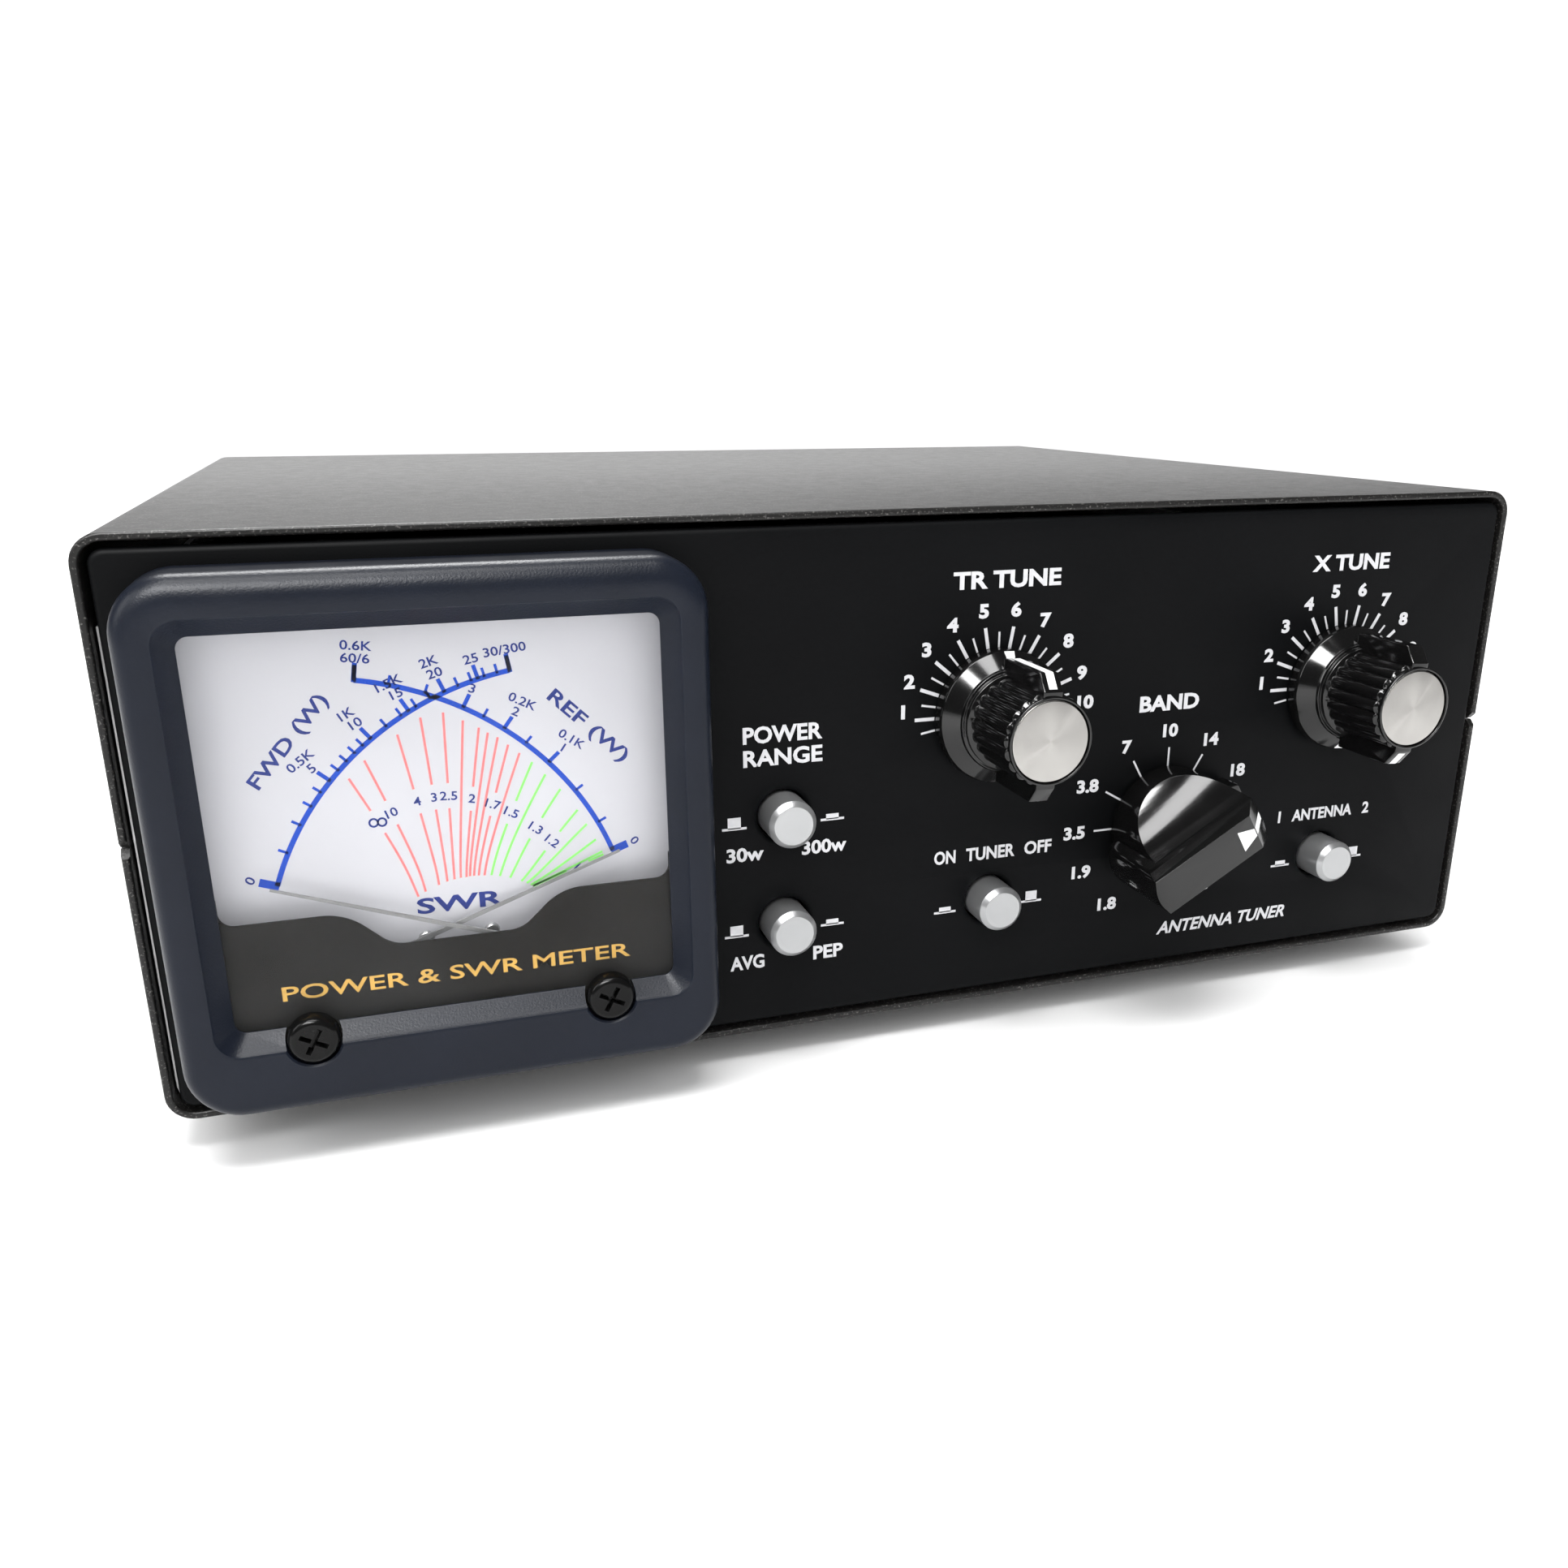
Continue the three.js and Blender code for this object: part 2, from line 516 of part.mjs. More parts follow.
// Two magnet pots on one yoke, each around a needle's moving coil.
function makeMovement() {
  const { outer, inner, front, bore, back } = MAGNET;
  const yoke = box(pivotX.reflected, pivotX.forward, back - YOKE.thickness, back,
    PIVOT_Z - YOKE.half, PIVOT_Z + YOKE.half);
  const pots = Object.values(pivotX).map((x) => bar(x, PIVOT_Z, outer, front, back));
  const bores = Object.values(pivotX).map((x) => bar(x, PIVOT_Z, inner, 0, bore));
  add('meter_movement', cut(join(yoke, ...pots), ...bores), 'plated');
}

// A needle points up as drawn, with its staff and moving coil behind it.
function makeNeedle(name, x, level, angle) {
  const { tail, hub, tip } = NEEDLE_HALF;
  const outline = polygon([[-tail, -NEEDLE_TAIL], [tail, -NEEDLE_TAIL], [hub, 0],
    [tip, NEEDLE_LENGTH], [-tip, NEEDLE_LENGTH], [-hub, 0]]);
  const hubBack = level + NEEDLE_HUB.depth;
  const staff = turned([[0, level], [NEEDLE_HUB.radius, level], [NEEDLE_HUB.radius, hubBack],
    [STAFF_RADIUS, hubBack], [STAFF_RADIUS, MOVING_COIL.front],
    [MOVING_COIL.radius, MOVING_COIL.front], [MOVING_COIL.radius, MOVING_COIL.back],
    [0, MOVING_COIL.back]], 0, 0, COARSE);
  const body = join(staff, plate(outline, level, level + NEEDLE_THICKNESS));
  add(`${name}_needle`, body, 'black', turnedGroup(x, PIVOT_Z, angle));
}

function makeAdjusters() {
  for (const [name, x] of Object.entries(adjusterX)) {
    const { head, seat, headRadius, stem } = ADJUSTER;
    const profile = [[0, head], [headRadius - ADJUSTER_CHAMFER, head],
      [headRadius, head + ADJUSTER_CHAMFER], [headRadius, seat], [stem, seat],
      [stem, ADJUSTER_STEM_BACK], [0, ADJUSTER_STEM_BACK]];
    const { long, short, depth } = ADJUSTER_SLOT;
    const slots = [[long, short], [short, long]].map(([w, h]) => box(
      -w, w, head - depth, head + depth, -h, h,
    ));
    const body = cut(solid(turned(profile, 0, 0)), ...slots);
    add(`${name}_zero_adjuster`, body, 'black', turnedGroup(x, ADJUSTER.z, 0));
  }
}

// ---- Tuning knobs ----
function makeTuningKnob(tune) {
  const group = turnedGroup(tune.x, TUNING_Z, tune.pointer);
  const recess = KNOB_HEIGHT - CAP_RECESS.depth;
  const profile = [[0, -recess], [CAP_RECESS.radius, -recess], [CAP_RECESS.radius, -KNOB_HEIGHT],
    [KNOB_RIM_RADIUS, -KNOB_HEIGHT], [KNOB_BODY_RADIUS, -KNOB_HEIGHT + KNOB_RIM_CHAMFER],
    [KNOB_BODY_RADIUS, -KNOB_SKIRT.neckHeight], [KNOB_SKIRT.neck, -KNOB_SKIRT.neckHeight],
    [KNOB_SKIRT.radius, -KNOB_SKIRT.edge], [KNOB_SKIRT.radius, -KNOB_GAP],
    [SHAFT_BORE_RADIUS, -KNOB_GAP], [SHAFT_BORE_RADIUS, -KNOB_BORE_END], [0, -KNOB_BORE_END]];
  const side = [[RIDGE.root, RIDGE.start], [RIDGE.reach, RIDGE.start],
    [RIDGE.reach, RIDGE.shoulder], [RIDGE.topReach, RIDGE.top], [RIDGE.root, RIDGE.top]];
  const ridges = [1, -1].map((way) => sidePlate(
    side.map(([reach, height]) => [height, way * reach]), RIDGE.width / 2,
  ));
  add(`${tune.name}_tune_knob`, join(turned(profile, 0, 0, FINE), ...ridges), 'black', group);
  const capBack = -recess - CAP_GAP;
  const capFront = capBack - CAP_THICKNESS;
  const cap = [[0, capFront], [CAP_RADIUS - CAP_CHAMFER, capFront],
    [CAP_RADIUS, capFront + CAP_CHAMFER], [CAP_RADIUS, capBack], [0, capBack]];
  add(`${tune.name}_tune_knob_cap`, turned(cap, 0, 0, FINE), 'spun', group);
  return group;
}

// ---- Variable capacitor ----
// Half a disc on the upper side, or half a ring where it has an inner radius.
function halfDisc(inner, outer) {
  const arc = (radius) => Array.from({ length: VANE.steps + 1 }, (_, step) => {
    const angle = Math.PI * step / VANE.steps;
    return [radius * Math.cos(angle), radius * Math.sin(angle)];
  });
  return polygon(inner > 0 ? [...arc(outer), ...arc(inner).reverse()] : arc(outer));
}

function makeCapacitor(tune, knobGroup) {
  const { count, first, pitch, thickness } = VANE;
  const rear = FRAME.back + FRAME.plate + SHAFT_OVERHANG;
  const shaft = bar(0, 0, SHAFT_RADIUS, -SHAFT_TIP, rear, COARSE);
  const rotorVanes = [];
  const statorPlates = [];
  for (let i = 0; i < count; i += 1) {
    const y = first + i * pitch;
    rotorVanes.push(plate(halfDisc(0, VANE.rotor), y, y + thickness).rotateY(Math.PI / 2));
    const between = y + pitch / 2;
    if (i < count - 1) {
      statorPlates.push(plate(halfDisc(VANE.hub, VANE.stator), between, between + thickness)
        .rotateY(Math.PI));
    }
  }
  add(`${tune.name}_capacitor_rotor`, join(shaft, ...rotorVanes), 'plated', knobGroup);

  const angle = THREE.MathUtils.degToRad(STATOR_ROD.angle);
  const orbit = [STATOR_ROD.orbit * Math.cos(angle), -STATOR_ROD.orbit * Math.sin(angle)];
  const rodFront = FRAME.front - STATOR_ROD.overhang;
  const rodBack = FRAME.back + FRAME.plate + STATOR_ROD.overhang;
  const rods = (radius, segments) => [-1, 1].map((side) => bar(
    side * orbit[0], orbit[1], radius, rodFront, rodBack, segments,
  ));
  const fixed = turnedGroup(tune.x, TUNING_Z, 0);
  const stator = join(...rods(STATOR_ROD.radius, SQUARE), ...statorPlates);
  add(`${tune.name}_capacitor_stator`, stator, 'plated', fixed);

  const floor = TRAY_FLOOR_TOP - TUNING_Z;
  const plates = [FRAME.front, FRAME.back].flatMap((y) => [
    box(-FRAME.halfWidth, FRAME.halfWidth, y, y + FRAME.plate, -FRAME.halfHeight, FRAME.halfHeight),
    box(-FRAME.tab, FRAME.tab, y, y + FRAME.plate, floor, 0),
  ]);
  const reach = [FRAME.halfWidth - FRAME.rodInset, FRAME.halfHeight - FRAME.rodInset];
  const ties = [[-1, -1], [-1, 1], [1, -1], [1, 1]].map(([sx, sz]) => bar(
    sx * reach[0], sz * reach[1], FRAME.rod, FRAME.front + TIE_SEAT.front,
    FRAME.back + TIE_SEAT.back, HEXAGON,
  ));
  const shaftHole = bar(0, 0, SHAFT_HOLE_RADIUS, 0, rear + OVERCUT);
  const frame = cut(join(...plates, ...ties), shaftHole, ...rods(STATOR_ROD.hole, HEXAGON));
  add(`${tune.name}_capacitor_frame`, frame, 'plated', fixed);
}

// ---- Band switch ----
// A bar with hollow sides across a round base, with a long tail and a nose that slopes down.
function makeBandKnob(group) {
  const { radius, height, barHalf, base, scoop, bevel } = BAND_KNOB;
  const core = turned([[0, -height], [radius - bevel, -height], [radius, -height + bevel],
    [radius, -KNOB_GAP], [SHAFT_BORE_RADIUS, -KNOB_GAP], [SHAFT_BORE_RADIUS, -BAND_BORE_END],
    [0, -BAND_BORE_END]], 0, 0, FINE);
  const { root, shoulder, reach, half, tipHalf } = BAND_TAIL;
  const tail = plate(polygon([[-tipHalf, -reach], [tipHalf, -reach], [half, -shoulder],
    [half, -root], [-half, -root], [-half, -shoulder]]), -height, -base);
  const scoops = [-1, 1].map((side) => new THREE.CylinderGeometry(
    scoop, scoop, SCOOP_LENGTH, SCOOP_SEGMENTS,
  ).rotateX(Math.PI / 2).translate(side * (barHalf + scoop), -base - scoop, 0));
  const nose = BAND_NOSE;
  const slopeEnd = radius + OVERCUT;
  const slope = sidePlate([[height + OVERCUT, nose.slopeStart], [height, nose.slopeStart],
    [height - nose.slopeDrop, slopeEnd], [height + OVERCUT, slopeEnd]], radius);
  const pointer = plate(polygon([[-barHalf, nose.root], [barHalf, nose.root],
    [nose.half, nose.reach], [-nose.half, nose.reach]]), -nose.height, -KNOB_GAP);
  const knob = cut(join(core, tail), ...scoops, slope).add(solid(pointer));
  add('band_knob', knob, 'black', group);
}

function makeBandSwitch() {
  const group = turnedGroup(BAND.x, BAND.z, BAND.pointer);
  makeBandKnob(group);

  const rear = WAFERS.first + WAFERS.count * WAFERS.pitch;
  const shaft = bar(0, 0, SHAFT_RADIUS, -BAND_SHAFT_TIP, rear, COARSE);
  const rotors = [];
  const wafers = [];
  for (let i = 0; i < WAFERS.count; i += 1) {
    const y = WAFERS.first + i * WAFERS.pitch;
    const back = y + WAFERS.thickness;
    const front = back + WAFER_ROTOR.gap;
    rotors.push(bar(0, 0, WAFER_ROTOR.radius, front, front + WAFER_ROTOR.thickness));
    wafers.push(bar(0, 0, WAFERS.radius, y, back));
  }
  add('band_switch_rotor', join(shaft, ...rotors), 'plated', group);

  const fixed = turnedGroup(BAND.x, BAND.z, 0);
  const { front, back, half } = DETENT_PLATE;
  const housing = box(-half, half, front, back, -half, half);
  const seat = front + OVERCUT;
  const bushing = bar(0, 0, BAND_BUSHING_RADIUS, BAND_BUSHING_FRONT, seat);
  const rodBack = rear - WAFERS.pitch + WAFER_ROD.overhang;
  const rods = [-1, 1].map((side) => bar(
    side * WAFER_ROD.orbit, 0, WAFER_ROD.radius, seat, rodBack, SQUARE,
  ));
  const bore = bar(0, 0, SHAFT_HOLE_RADIUS, -OVERCUT, rear + OVERCUT);
  const washer = bar(0, 0, BAND_WASHER_RADIUS, FRONT_PANEL_THICKNESS, seat);
  const frame = cut(join(housing, bushing, washer, ...rods, ...wafers), bore);
  add('band_switch_wafers', frame, 'resin', fixed);
}

// ---- Push buttons ----
function makeButton({ name, x, z }) {
  const cap = [[0, -BUTTON_REACH], [BUTTON_RADIUS - BUTTON_CHAMFER, -BUTTON_REACH],
    [BUTTON_RADIUS, -BUTTON_REACH + BUTTON_CHAMFER], [BUTTON_RADIUS, BUTTON_BACK],
    [PLUNGER_RADIUS, BUTTON_BACK], [PLUNGER_RADIUS, PLUNGER_BACK], [0, PLUNGER_BACK]];
  add(`${name}_button`, turned(cap, x, z), 'silver');
  const { half, back, cupRadius, cupBack, boreRadius, boreBack } = SWITCH;
  const housing = box(x - half, x + half, FRONT_PANEL_THICKNESS, back, z - half, z + half);
  const cup = bar(x, z, cupRadius, 0, cupBack);
  const bore = bar(x, z, boreRadius, 0, boreBack);
  add(`${name}_switch`, cut(solid(housing), cup, bore), 'black');
}

// ---- Coil, coupler board and toroid ----
function makeInside() {
  const { x0, x1, y, z, outer, inner, turns } = COIL;
  const { radius: groove, half } = COIL_GROOVE;
  const step = (x1 - x0) / turns;
  const profile = [[inner, x0], [outer, x0]];
  for (let i = 1; i < turns; i += 1) {
    const x = x0 + i * step;
    profile.push([outer, x - half], [groove, x], [outer, x + half]);
  }
  profile.push([outer, x1], [inner, x1], [inner, x0]);
  const coil = turned(profile, 0, 0).rotateZ(-Math.PI / 2).translate(0, y, z);
  add('main_coil', coil, 'copper');

  const block = box(SADDLE.x0, SADDLE.x1, y - SADDLE.half, y + SADDLE.half,
    TRAY_FLOOR_TOP, SADDLE.top);
  const round = outer + SADDLE.gap;
  const trough = new THREE.CylinderGeometry(round, round, SADDLE.trough, TROUGH_SEGMENTS)
    .rotateZ(Math.PI / 2).translate(0, y, z);
  add('coil_saddle', cut(solid(block), trough), 'resin');

  const { inset, radius: spacer, seat } = SPACER;
  const sheet = box(BOARD.x0, BOARD.x1, BOARD.y0, BOARD.y1, BOARD.z, BOARD.z + BOARD.thickness);
  const spacers = [[0, 0], [0, 1], [1, 0], [1, 1]].map(([right, back]) => {
    const px = right ? BOARD.x1 - inset : BOARD.x0 + inset;
    const py = back ? BOARD.y1 - inset : BOARD.y0 + inset;
    const length = BOARD.z + seat - TRAY_FLOOR_TOP;
    return new THREE.CylinderGeometry(spacer, spacer, length, COARSE).rotateX(Math.PI / 2)
      .translate(px, py, TRAY_FLOOR_TOP + length / 2);
  });
  add('coupler_board', join(sheet, ...spacers), 'board');

  const bottom = BOARD.z + BOARD.thickness + TOROID.gap;
  const ring = [[TOROID.inner, 0], [TOROID.outer, 0], [TOROID.outer, TOROID.height],
    [TOROID.inner, TOROID.height], [TOROID.inner, 0]];
  const toroid = turned(ring, 0, 0).rotateX(Math.PI / 2);
  add('coupler_toroid', toroid.translate(TOROID.x, TOROID.y, bottom), 'copper');
}

// ---- Rear connectors ----
function makeJacks() {
  const panelBack = REAR_PANEL_FRONT + REAR_PANEL_THICKNESS;
  for (const { name, x } of JACKS) {
    const flange = roundedRect(x, JACK_Z, JACK.flange, JACK.flange, JACK.corner);
    const barrel = bar(x, JACK_Z, JACK.outer, panelBack, JACK.end);
    const bore = bar(x, JACK_Z, JACK.inner, panelBack - OVERCUT, JACK.end + OVERCUT);
    const shell = cut(join(plate(flange, panelBack, JACK.flangeBack), barrel), bore);
    add(`${name}_jack`, shell, 'plated');
    const { radius, front, back, contact, bore: well, end } = INSERT;
    const profile = [[0, front], [radius, front], [radius, back], [contact, back],
      [contact, end], [well, end], [well, back], [0, back]];
    add(`${name}_jack_insert`, turned(profile, x, JACK_Z), 'resin');
  }
  const { x, outer, bore, flange, flangeBack, end, front } = DC_JACK;
  const profile = [[0, front], [outer, front], [outer, panelBack], [flange, panelBack],
    [flange, flangeBack], [outer, flangeBack], [outer, end], [bore, end], [bore, DC_PIN.base],
    [DC_PIN.radius, DC_PIN.base], [DC_PIN.radius, DC_PIN.end], [0, DC_PIN.end]];
  add('dc_power_jack', turned(profile, x, JACK_Z), 'black');
}

function makeGroundPost() {
  const { x, z, radius, head, front, end, chamfer } = GROUND;
  const post = [[0, front], [head, front], [head, REAR_PANEL_FRONT], [radius, REAR_PANEL_FRONT],
    [radius, end - chamfer], [radius - chamfer, end], [0, end]];
  add('ground_post', turned(post, x, z, COARSE), 'plated');
  const nut = GROUND_NUT;
  const ring = [[nut.bore, nut.front], [nut.radius, nut.front],
    [nut.radius, nut.back - nut.chamfer], [nut.radius - nut.chamfer, nut.back],
    [nut.bore, nut.back], [nut.bore, nut.front]];
  add('ground_thumb_nut', turned(ring, x, z), 'brass');
}

makeFrontPanel();
makeRearPanel();
makeTray(makeCovers());
makeFeet();
makeCoverScrews();
makeBezel();
makeWindowAndMask();
makeScalePlate();
makeMeterCase();
makeMovement();
makeNeedle('forward', pivotX.forward, NEEDLE_LEVELS.forward, -NEEDLE_ZERO_ANGLE);
makeNeedle('reflected', pivotX.reflected, NEEDLE_LEVELS.reflected, NEEDLE_ZERO_ANGLE);
makeAdjusters();
TUNERS.forEach((tune) => makeCapacitor(tune, makeTuningKnob(tune)));
makeBandSwitch();
BUTTONS.forEach(makeButton);
makeInside();
makeJacks();
makeGroundPost();

export default tuner;
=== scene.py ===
"""The looks of a desktop antenna tuner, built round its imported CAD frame.

Shapes are drawn in case millimetres: x = 0 on the centre line, y = 0 on the face of the front
panel with the back of the case at positive y, and z = 0 on the underside of the case.
"""

import json  # noqa: E402
import math  # noqa: E402

import bmesh  # noqa: E402
import bpy  # noqa: E402
from mathutils import Matrix, Vector  # noqa: E402


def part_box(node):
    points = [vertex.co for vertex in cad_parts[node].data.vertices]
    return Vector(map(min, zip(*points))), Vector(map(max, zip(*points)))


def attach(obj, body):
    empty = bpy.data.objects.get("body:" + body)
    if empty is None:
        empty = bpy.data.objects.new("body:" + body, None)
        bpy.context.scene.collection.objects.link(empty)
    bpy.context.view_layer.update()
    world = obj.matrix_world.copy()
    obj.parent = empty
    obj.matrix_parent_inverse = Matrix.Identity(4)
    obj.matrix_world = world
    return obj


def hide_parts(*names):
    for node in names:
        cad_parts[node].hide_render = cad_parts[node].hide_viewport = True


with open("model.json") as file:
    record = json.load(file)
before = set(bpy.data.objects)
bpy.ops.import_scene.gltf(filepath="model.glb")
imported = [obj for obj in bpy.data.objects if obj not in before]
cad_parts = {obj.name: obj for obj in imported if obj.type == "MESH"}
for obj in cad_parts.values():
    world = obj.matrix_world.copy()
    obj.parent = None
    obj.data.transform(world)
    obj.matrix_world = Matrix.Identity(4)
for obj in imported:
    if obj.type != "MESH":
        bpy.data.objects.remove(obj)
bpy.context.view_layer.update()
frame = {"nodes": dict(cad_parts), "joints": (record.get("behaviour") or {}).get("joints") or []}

MM = 0.001
FRONT_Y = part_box("front_panel")[0].y
BASE_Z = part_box("bottom_cover")[0].z
CASE = Matrix.Translation((0, FRONT_Y, BASE_Z)) @ Matrix.Scale(MM, 4)
TO_CASE = CASE.inverted()


def span(node):
    """The lowest and highest corner of a CAD node, in case millimetres."""
    low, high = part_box(node)
    return TO_CASE @ low, TO_CASE @ high


def middle(node):
    low, high = span(node)
    return (low + high) / 2


def round_node(node):
    """The x, z and radius of a round CAD node that lies along Y, and its front and back."""
    low, high = span(node)
    return (low.x + high.x) / 2, (low.z + high.z) / 2, (high.x - low.x) / 2, low.y, high.y


def placed(x, y, z, degrees=0, axis="Y"):
    """A turn about an axis through the origin, and then a move to a point."""
    return Matrix.Translation((x, y, z)) @ Matrix.Rotation(math.radians(degrees), 4, axis)


AXES = {j["name"]: TO_CASE @ Vector(j["pos_m"]) for j in frame["joints"] if "pos_m" in j}


# ---- Camera ----
CAMERA_PLACE = (-0.085467, -0.306794, 0.116245)
CAMERA_TURN = (71.53495, -0.11917, -19.13212)
CAMERA_LENS = 30.334
CAMERA_SHIFT = (-0.034268, 0.026132)


def make_camera():
    camera = bpy.data.cameras.new("camera")
    camera.sensor_width = 36
    camera.lens = CAMERA_LENS
    camera.shift_x, camera.shift_y = CAMERA_SHIFT
    camera.clip_start = 0.01
    holder = bpy.data.objects.new("camera", camera)
    holder.location = CAMERA_PLACE
    holder.rotation_euler = [math.radians(a) for a in CAMERA_TURN]
    bpy.context.scene.collection.objects.link(holder)
    bpy.context.scene.camera = holder


make_camera()


# ---- Stage and light ----
def area_light(name, place, target, size, power, only_glossy=False, only_diffuse=False):
    light = bpy.data.lights.new(name, "AREA")
    light.shape = "RECTANGLE"
    light.size, light.size_y = size
    light.energy = power
    holder = bpy.data.objects.new(name, light)
    holder.visible_camera = False
    holder.visible_diffuse = not only_glossy
    holder.visible_glossy = not only_diffuse
    holder.location = place
    aim = Vector(target) - Vector(place)
    holder.rotation_euler = aim.to_track_quat("-Z", "Y").to_euler()
    bpy.context.scene.collection.objects.link(holder)


FLOOR_HALF = 12
SURROUND = 1.1
GLOSS_SURROUND = 0.10


def make_stage():
    mesh = bpy.data.meshes.new("floor")
    half = FLOOR_HALF
    mesh.from_pydata([(-half, -half, 0), (half, -half, 0), (half, half, 0), (-half, half, 0)], [],
                     [(0, 1, 2, 3)])
    floor = bpy.data.objects.new("floor", mesh)
    bpy.context.scene.collection.objects.link(floor)
    material = bpy.data.materials.new("floor_paper")
    material.use_nodes = True
    shader = material.node_tree.nodes["Principled BSDF"]
    shader.inputs["Base Color"].default_value = (0.97, 0.97, 0.97, 1)
    shader.inputs["Roughness"].default_value = 0.9
    shader.inputs["Specular IOR Level"].default_value = 0.1
    mesh.materials.append(material)

    world = bpy.data.worlds.new("studio")
    bpy.context.scene.world = world
    world.use_nodes = True
    tree = world.node_tree
    background = tree.nodes["Background"]
    background.inputs["Color"].default_value = (1, 1, 1, 1)
    rays = tree.nodes.new("ShaderNodeLightPath")
    strength = tree.nodes.new("ShaderNodeMapRange")
    strength.inputs["To Min"].default_value = SURROUND
    strength.inputs["To Max"].default_value = GLOSS_SURROUND
    tree.links.new(rays.outputs["Is Glossy Ray"], strength.inputs["Value"])
    tree.links.new(strength.outputs["Result"], background.inputs["Strength"])

    area_light("overhead_back", (0.1, 0.75, 0.75), (0, 0, 0.05), (1.6, 0.7), 10, only_diffuse=True)
    area_light("overhead_front", (-0.12, -0.32, 0.85), (-0.05, -0.12, 0.05), (0.5, 0.22), 5)
    area_light("left_strip", (-0.8, -0.25, 0.5), (0, -0.12, 0.05), (0.3, 0.5), 2.5)
    area_light("window_gloss", (-0.33, -0.71, 0.77), (0.03, -0.1, 0.06), (0.55, 0.32), 18, True)
    area_light("ceiling_gloss", (-0.08, 0.42, 0.9), (0.05, -0.11, 0.04), (0.5, 0.34), 14, True)
    area_light("backdrop_gloss", (0.1, 1.4, 0.3), (0, 0, 0.08), (3.0, 0.6), 9, True)
    bpy.context.scene.view_settings.view_transform = "Standard"


make_stage()


# ---- Finishes ----
def grey(value):
    return (value, value, value)


class Finish:
    """A procedural material: a Principled shader with its noise and grain nodes, and edges painted
    lighter as wear and as a painted highlight.
    """

    def __init__(self, name, colour, roughness, **sockets):
        self.material = bpy.data.materials.new(name)
        self.material.use_nodes = True
        self.tree = self.material.node_tree
        self.shader = self.tree.nodes["Principled BSDF"]
        self.coords = self.node("ShaderNodeTexCoord").outputs["Object"]
        self.colour = colour
        self.roughness = roughness
        for socket, value in sockets.items():
            self.shader.inputs[socket.replace("_", " ")].default_value = value
        self.height = None

    def node(self, kind, **values):
        made = self.tree.nodes.new(kind)
        for key, value in values.items():
            if hasattr(made, key):
                setattr(made, key, value)
            else:
                made.inputs[key.replace("_", " ")].default_value = value
        return made

    def link(self, source, target):
        self.tree.links.new(source, target)

    def noise(self, per_metre, detail=3.0, coords=None):
        made = self.node("ShaderNodeTexNoise", Scale=per_metre, Detail=detail)
        self.link(coords or self.coords, made.inputs["Vector"])
        return made.outputs["Fac"]

    def spread(self, source, low, high, start=0.3, end=0.7):
        made = self.node("ShaderNodeMapRange")
        for socket, value in (("From Min", start), ("From Max", end), ("To Min", low),
                              ("To Max", high)):
            made.inputs[socket].default_value = value
        self.link(source, made.inputs["Value"])
        return made.outputs["Result"]

    def blend(self, factor, first, second):
        made = self.node("ShaderNodeMix", data_type="RGBA")
        self.link(factor, made.inputs["Factor"])
        for socket, value in ((6, first), (7, second)):
            if hasattr(value, "is_linked"):
                self.link(value, made.inputs[socket])
            else:
                made.inputs[socket].default_value = (*value, 1)
        return made.outputs[2]

    def mottle(self, amount, per_metre):
        """The colour and the roughness drift a little over the surface."""
        source = self.noise(per_metre)
        dark = [c * (1 - amount) for c in self.colour]
        light = [min(1, c * (1 + amount)) for c in self.colour]
        self.base = self.blend(self.spread(source, 0, 1), dark, light)
        drift = self.noise(per_metre * 1.7)
        self.rough = self.spread(drift, self.roughness * (1 - amount),
                                 min(1, self.roughness * (1 + amount)))
        return self

    def grain(self, per_metre, depth_mm, strength=1.0, detail=2.0):
        """A fine relief, such as powder coat, moulded or brushed texture."""
        bump = self.node("ShaderNodeBump", Strength=strength, Distance=depth_mm * MM)
        self.link(self.noise(per_metre, detail), bump.inputs["Height"])
        if self.height:
            self.link(self.height, bump.inputs["Normal"])
        self.height = bump.outputs["Normal"]
        return self

    def rings(self, centre, pitch_mm, depth_mm):
        """Turned grooves round the Y axis through a point of the case."""
        moved = self.node("ShaderNodeMapping")
        moved.inputs["Location"].default_value = [-c for c in CASE @ Vector(centre)]
        self.link(self.coords, moved.inputs["Vector"])
        wave = self.node("ShaderNodeTexWave", wave_type="RINGS", rings_direction="Y",
                         Scale=0.314 / (pitch_mm * MM), Distortion=0.6, Detail=1.0)
        self.link(moved.outputs["Vector"], wave.inputs["Vector"])
        bump = self.node("ShaderNodeBump", Strength=0.5, Distance=depth_mm * MM)
        self.link(wave.outputs["Fac"], bump.inputs["Height"])
        self.height = bump.outputs["Normal"]
        return self

    def speckle(self, per_metre, colour, share):
        """Fine light grains in the coat."""
        source = self.noise(per_metre, 1.0)
        factor = self.spread(source, 0, 1, 1 - share, 1 - share * 0.6)
        self.base = self.blend(factor, self.base, colour)
        return self

    def wear(self, colour, radius_mm=0.5, amount=0.6):
        """Rounded edges are painted lighter where the coat turns over them: partly rubbed wear, partly
        a painted highlight along every edge.
        """
        bevel = self.node("ShaderNodeBevel", samples=4)
        bevel.inputs["Radius"].default_value = radius_mm * MM
        face = self.node("ShaderNodeNewGeometry")
        dot = self.node("ShaderNodeVectorMath", operation="DOT_PRODUCT")
        self.link(bevel.outputs["Normal"], dot.inputs[0])
        self.link(face.outputs["Normal"], dot.inputs[1])
        # Where the bevelled normal parts from the face's normal the colour is painted lighter: a
        # painted edge highlight as well as wear.
        edge = self.spread(dot.outputs["Value"], amount, 0, 0.8, 0.995)
        wear_and_highlight_mask = self.node("ShaderNodeMath", operation="MULTIPLY")
        self.link(edge, wear_and_highlight_mask.inputs[0])
        self.link(self.spread(self.noise(900), 0.25, 1), wear_and_highlight_mask.inputs[1])
        self.base = self.blend(wear_and_highlight_mask.outputs["Value"], self.base, colour)
        return self

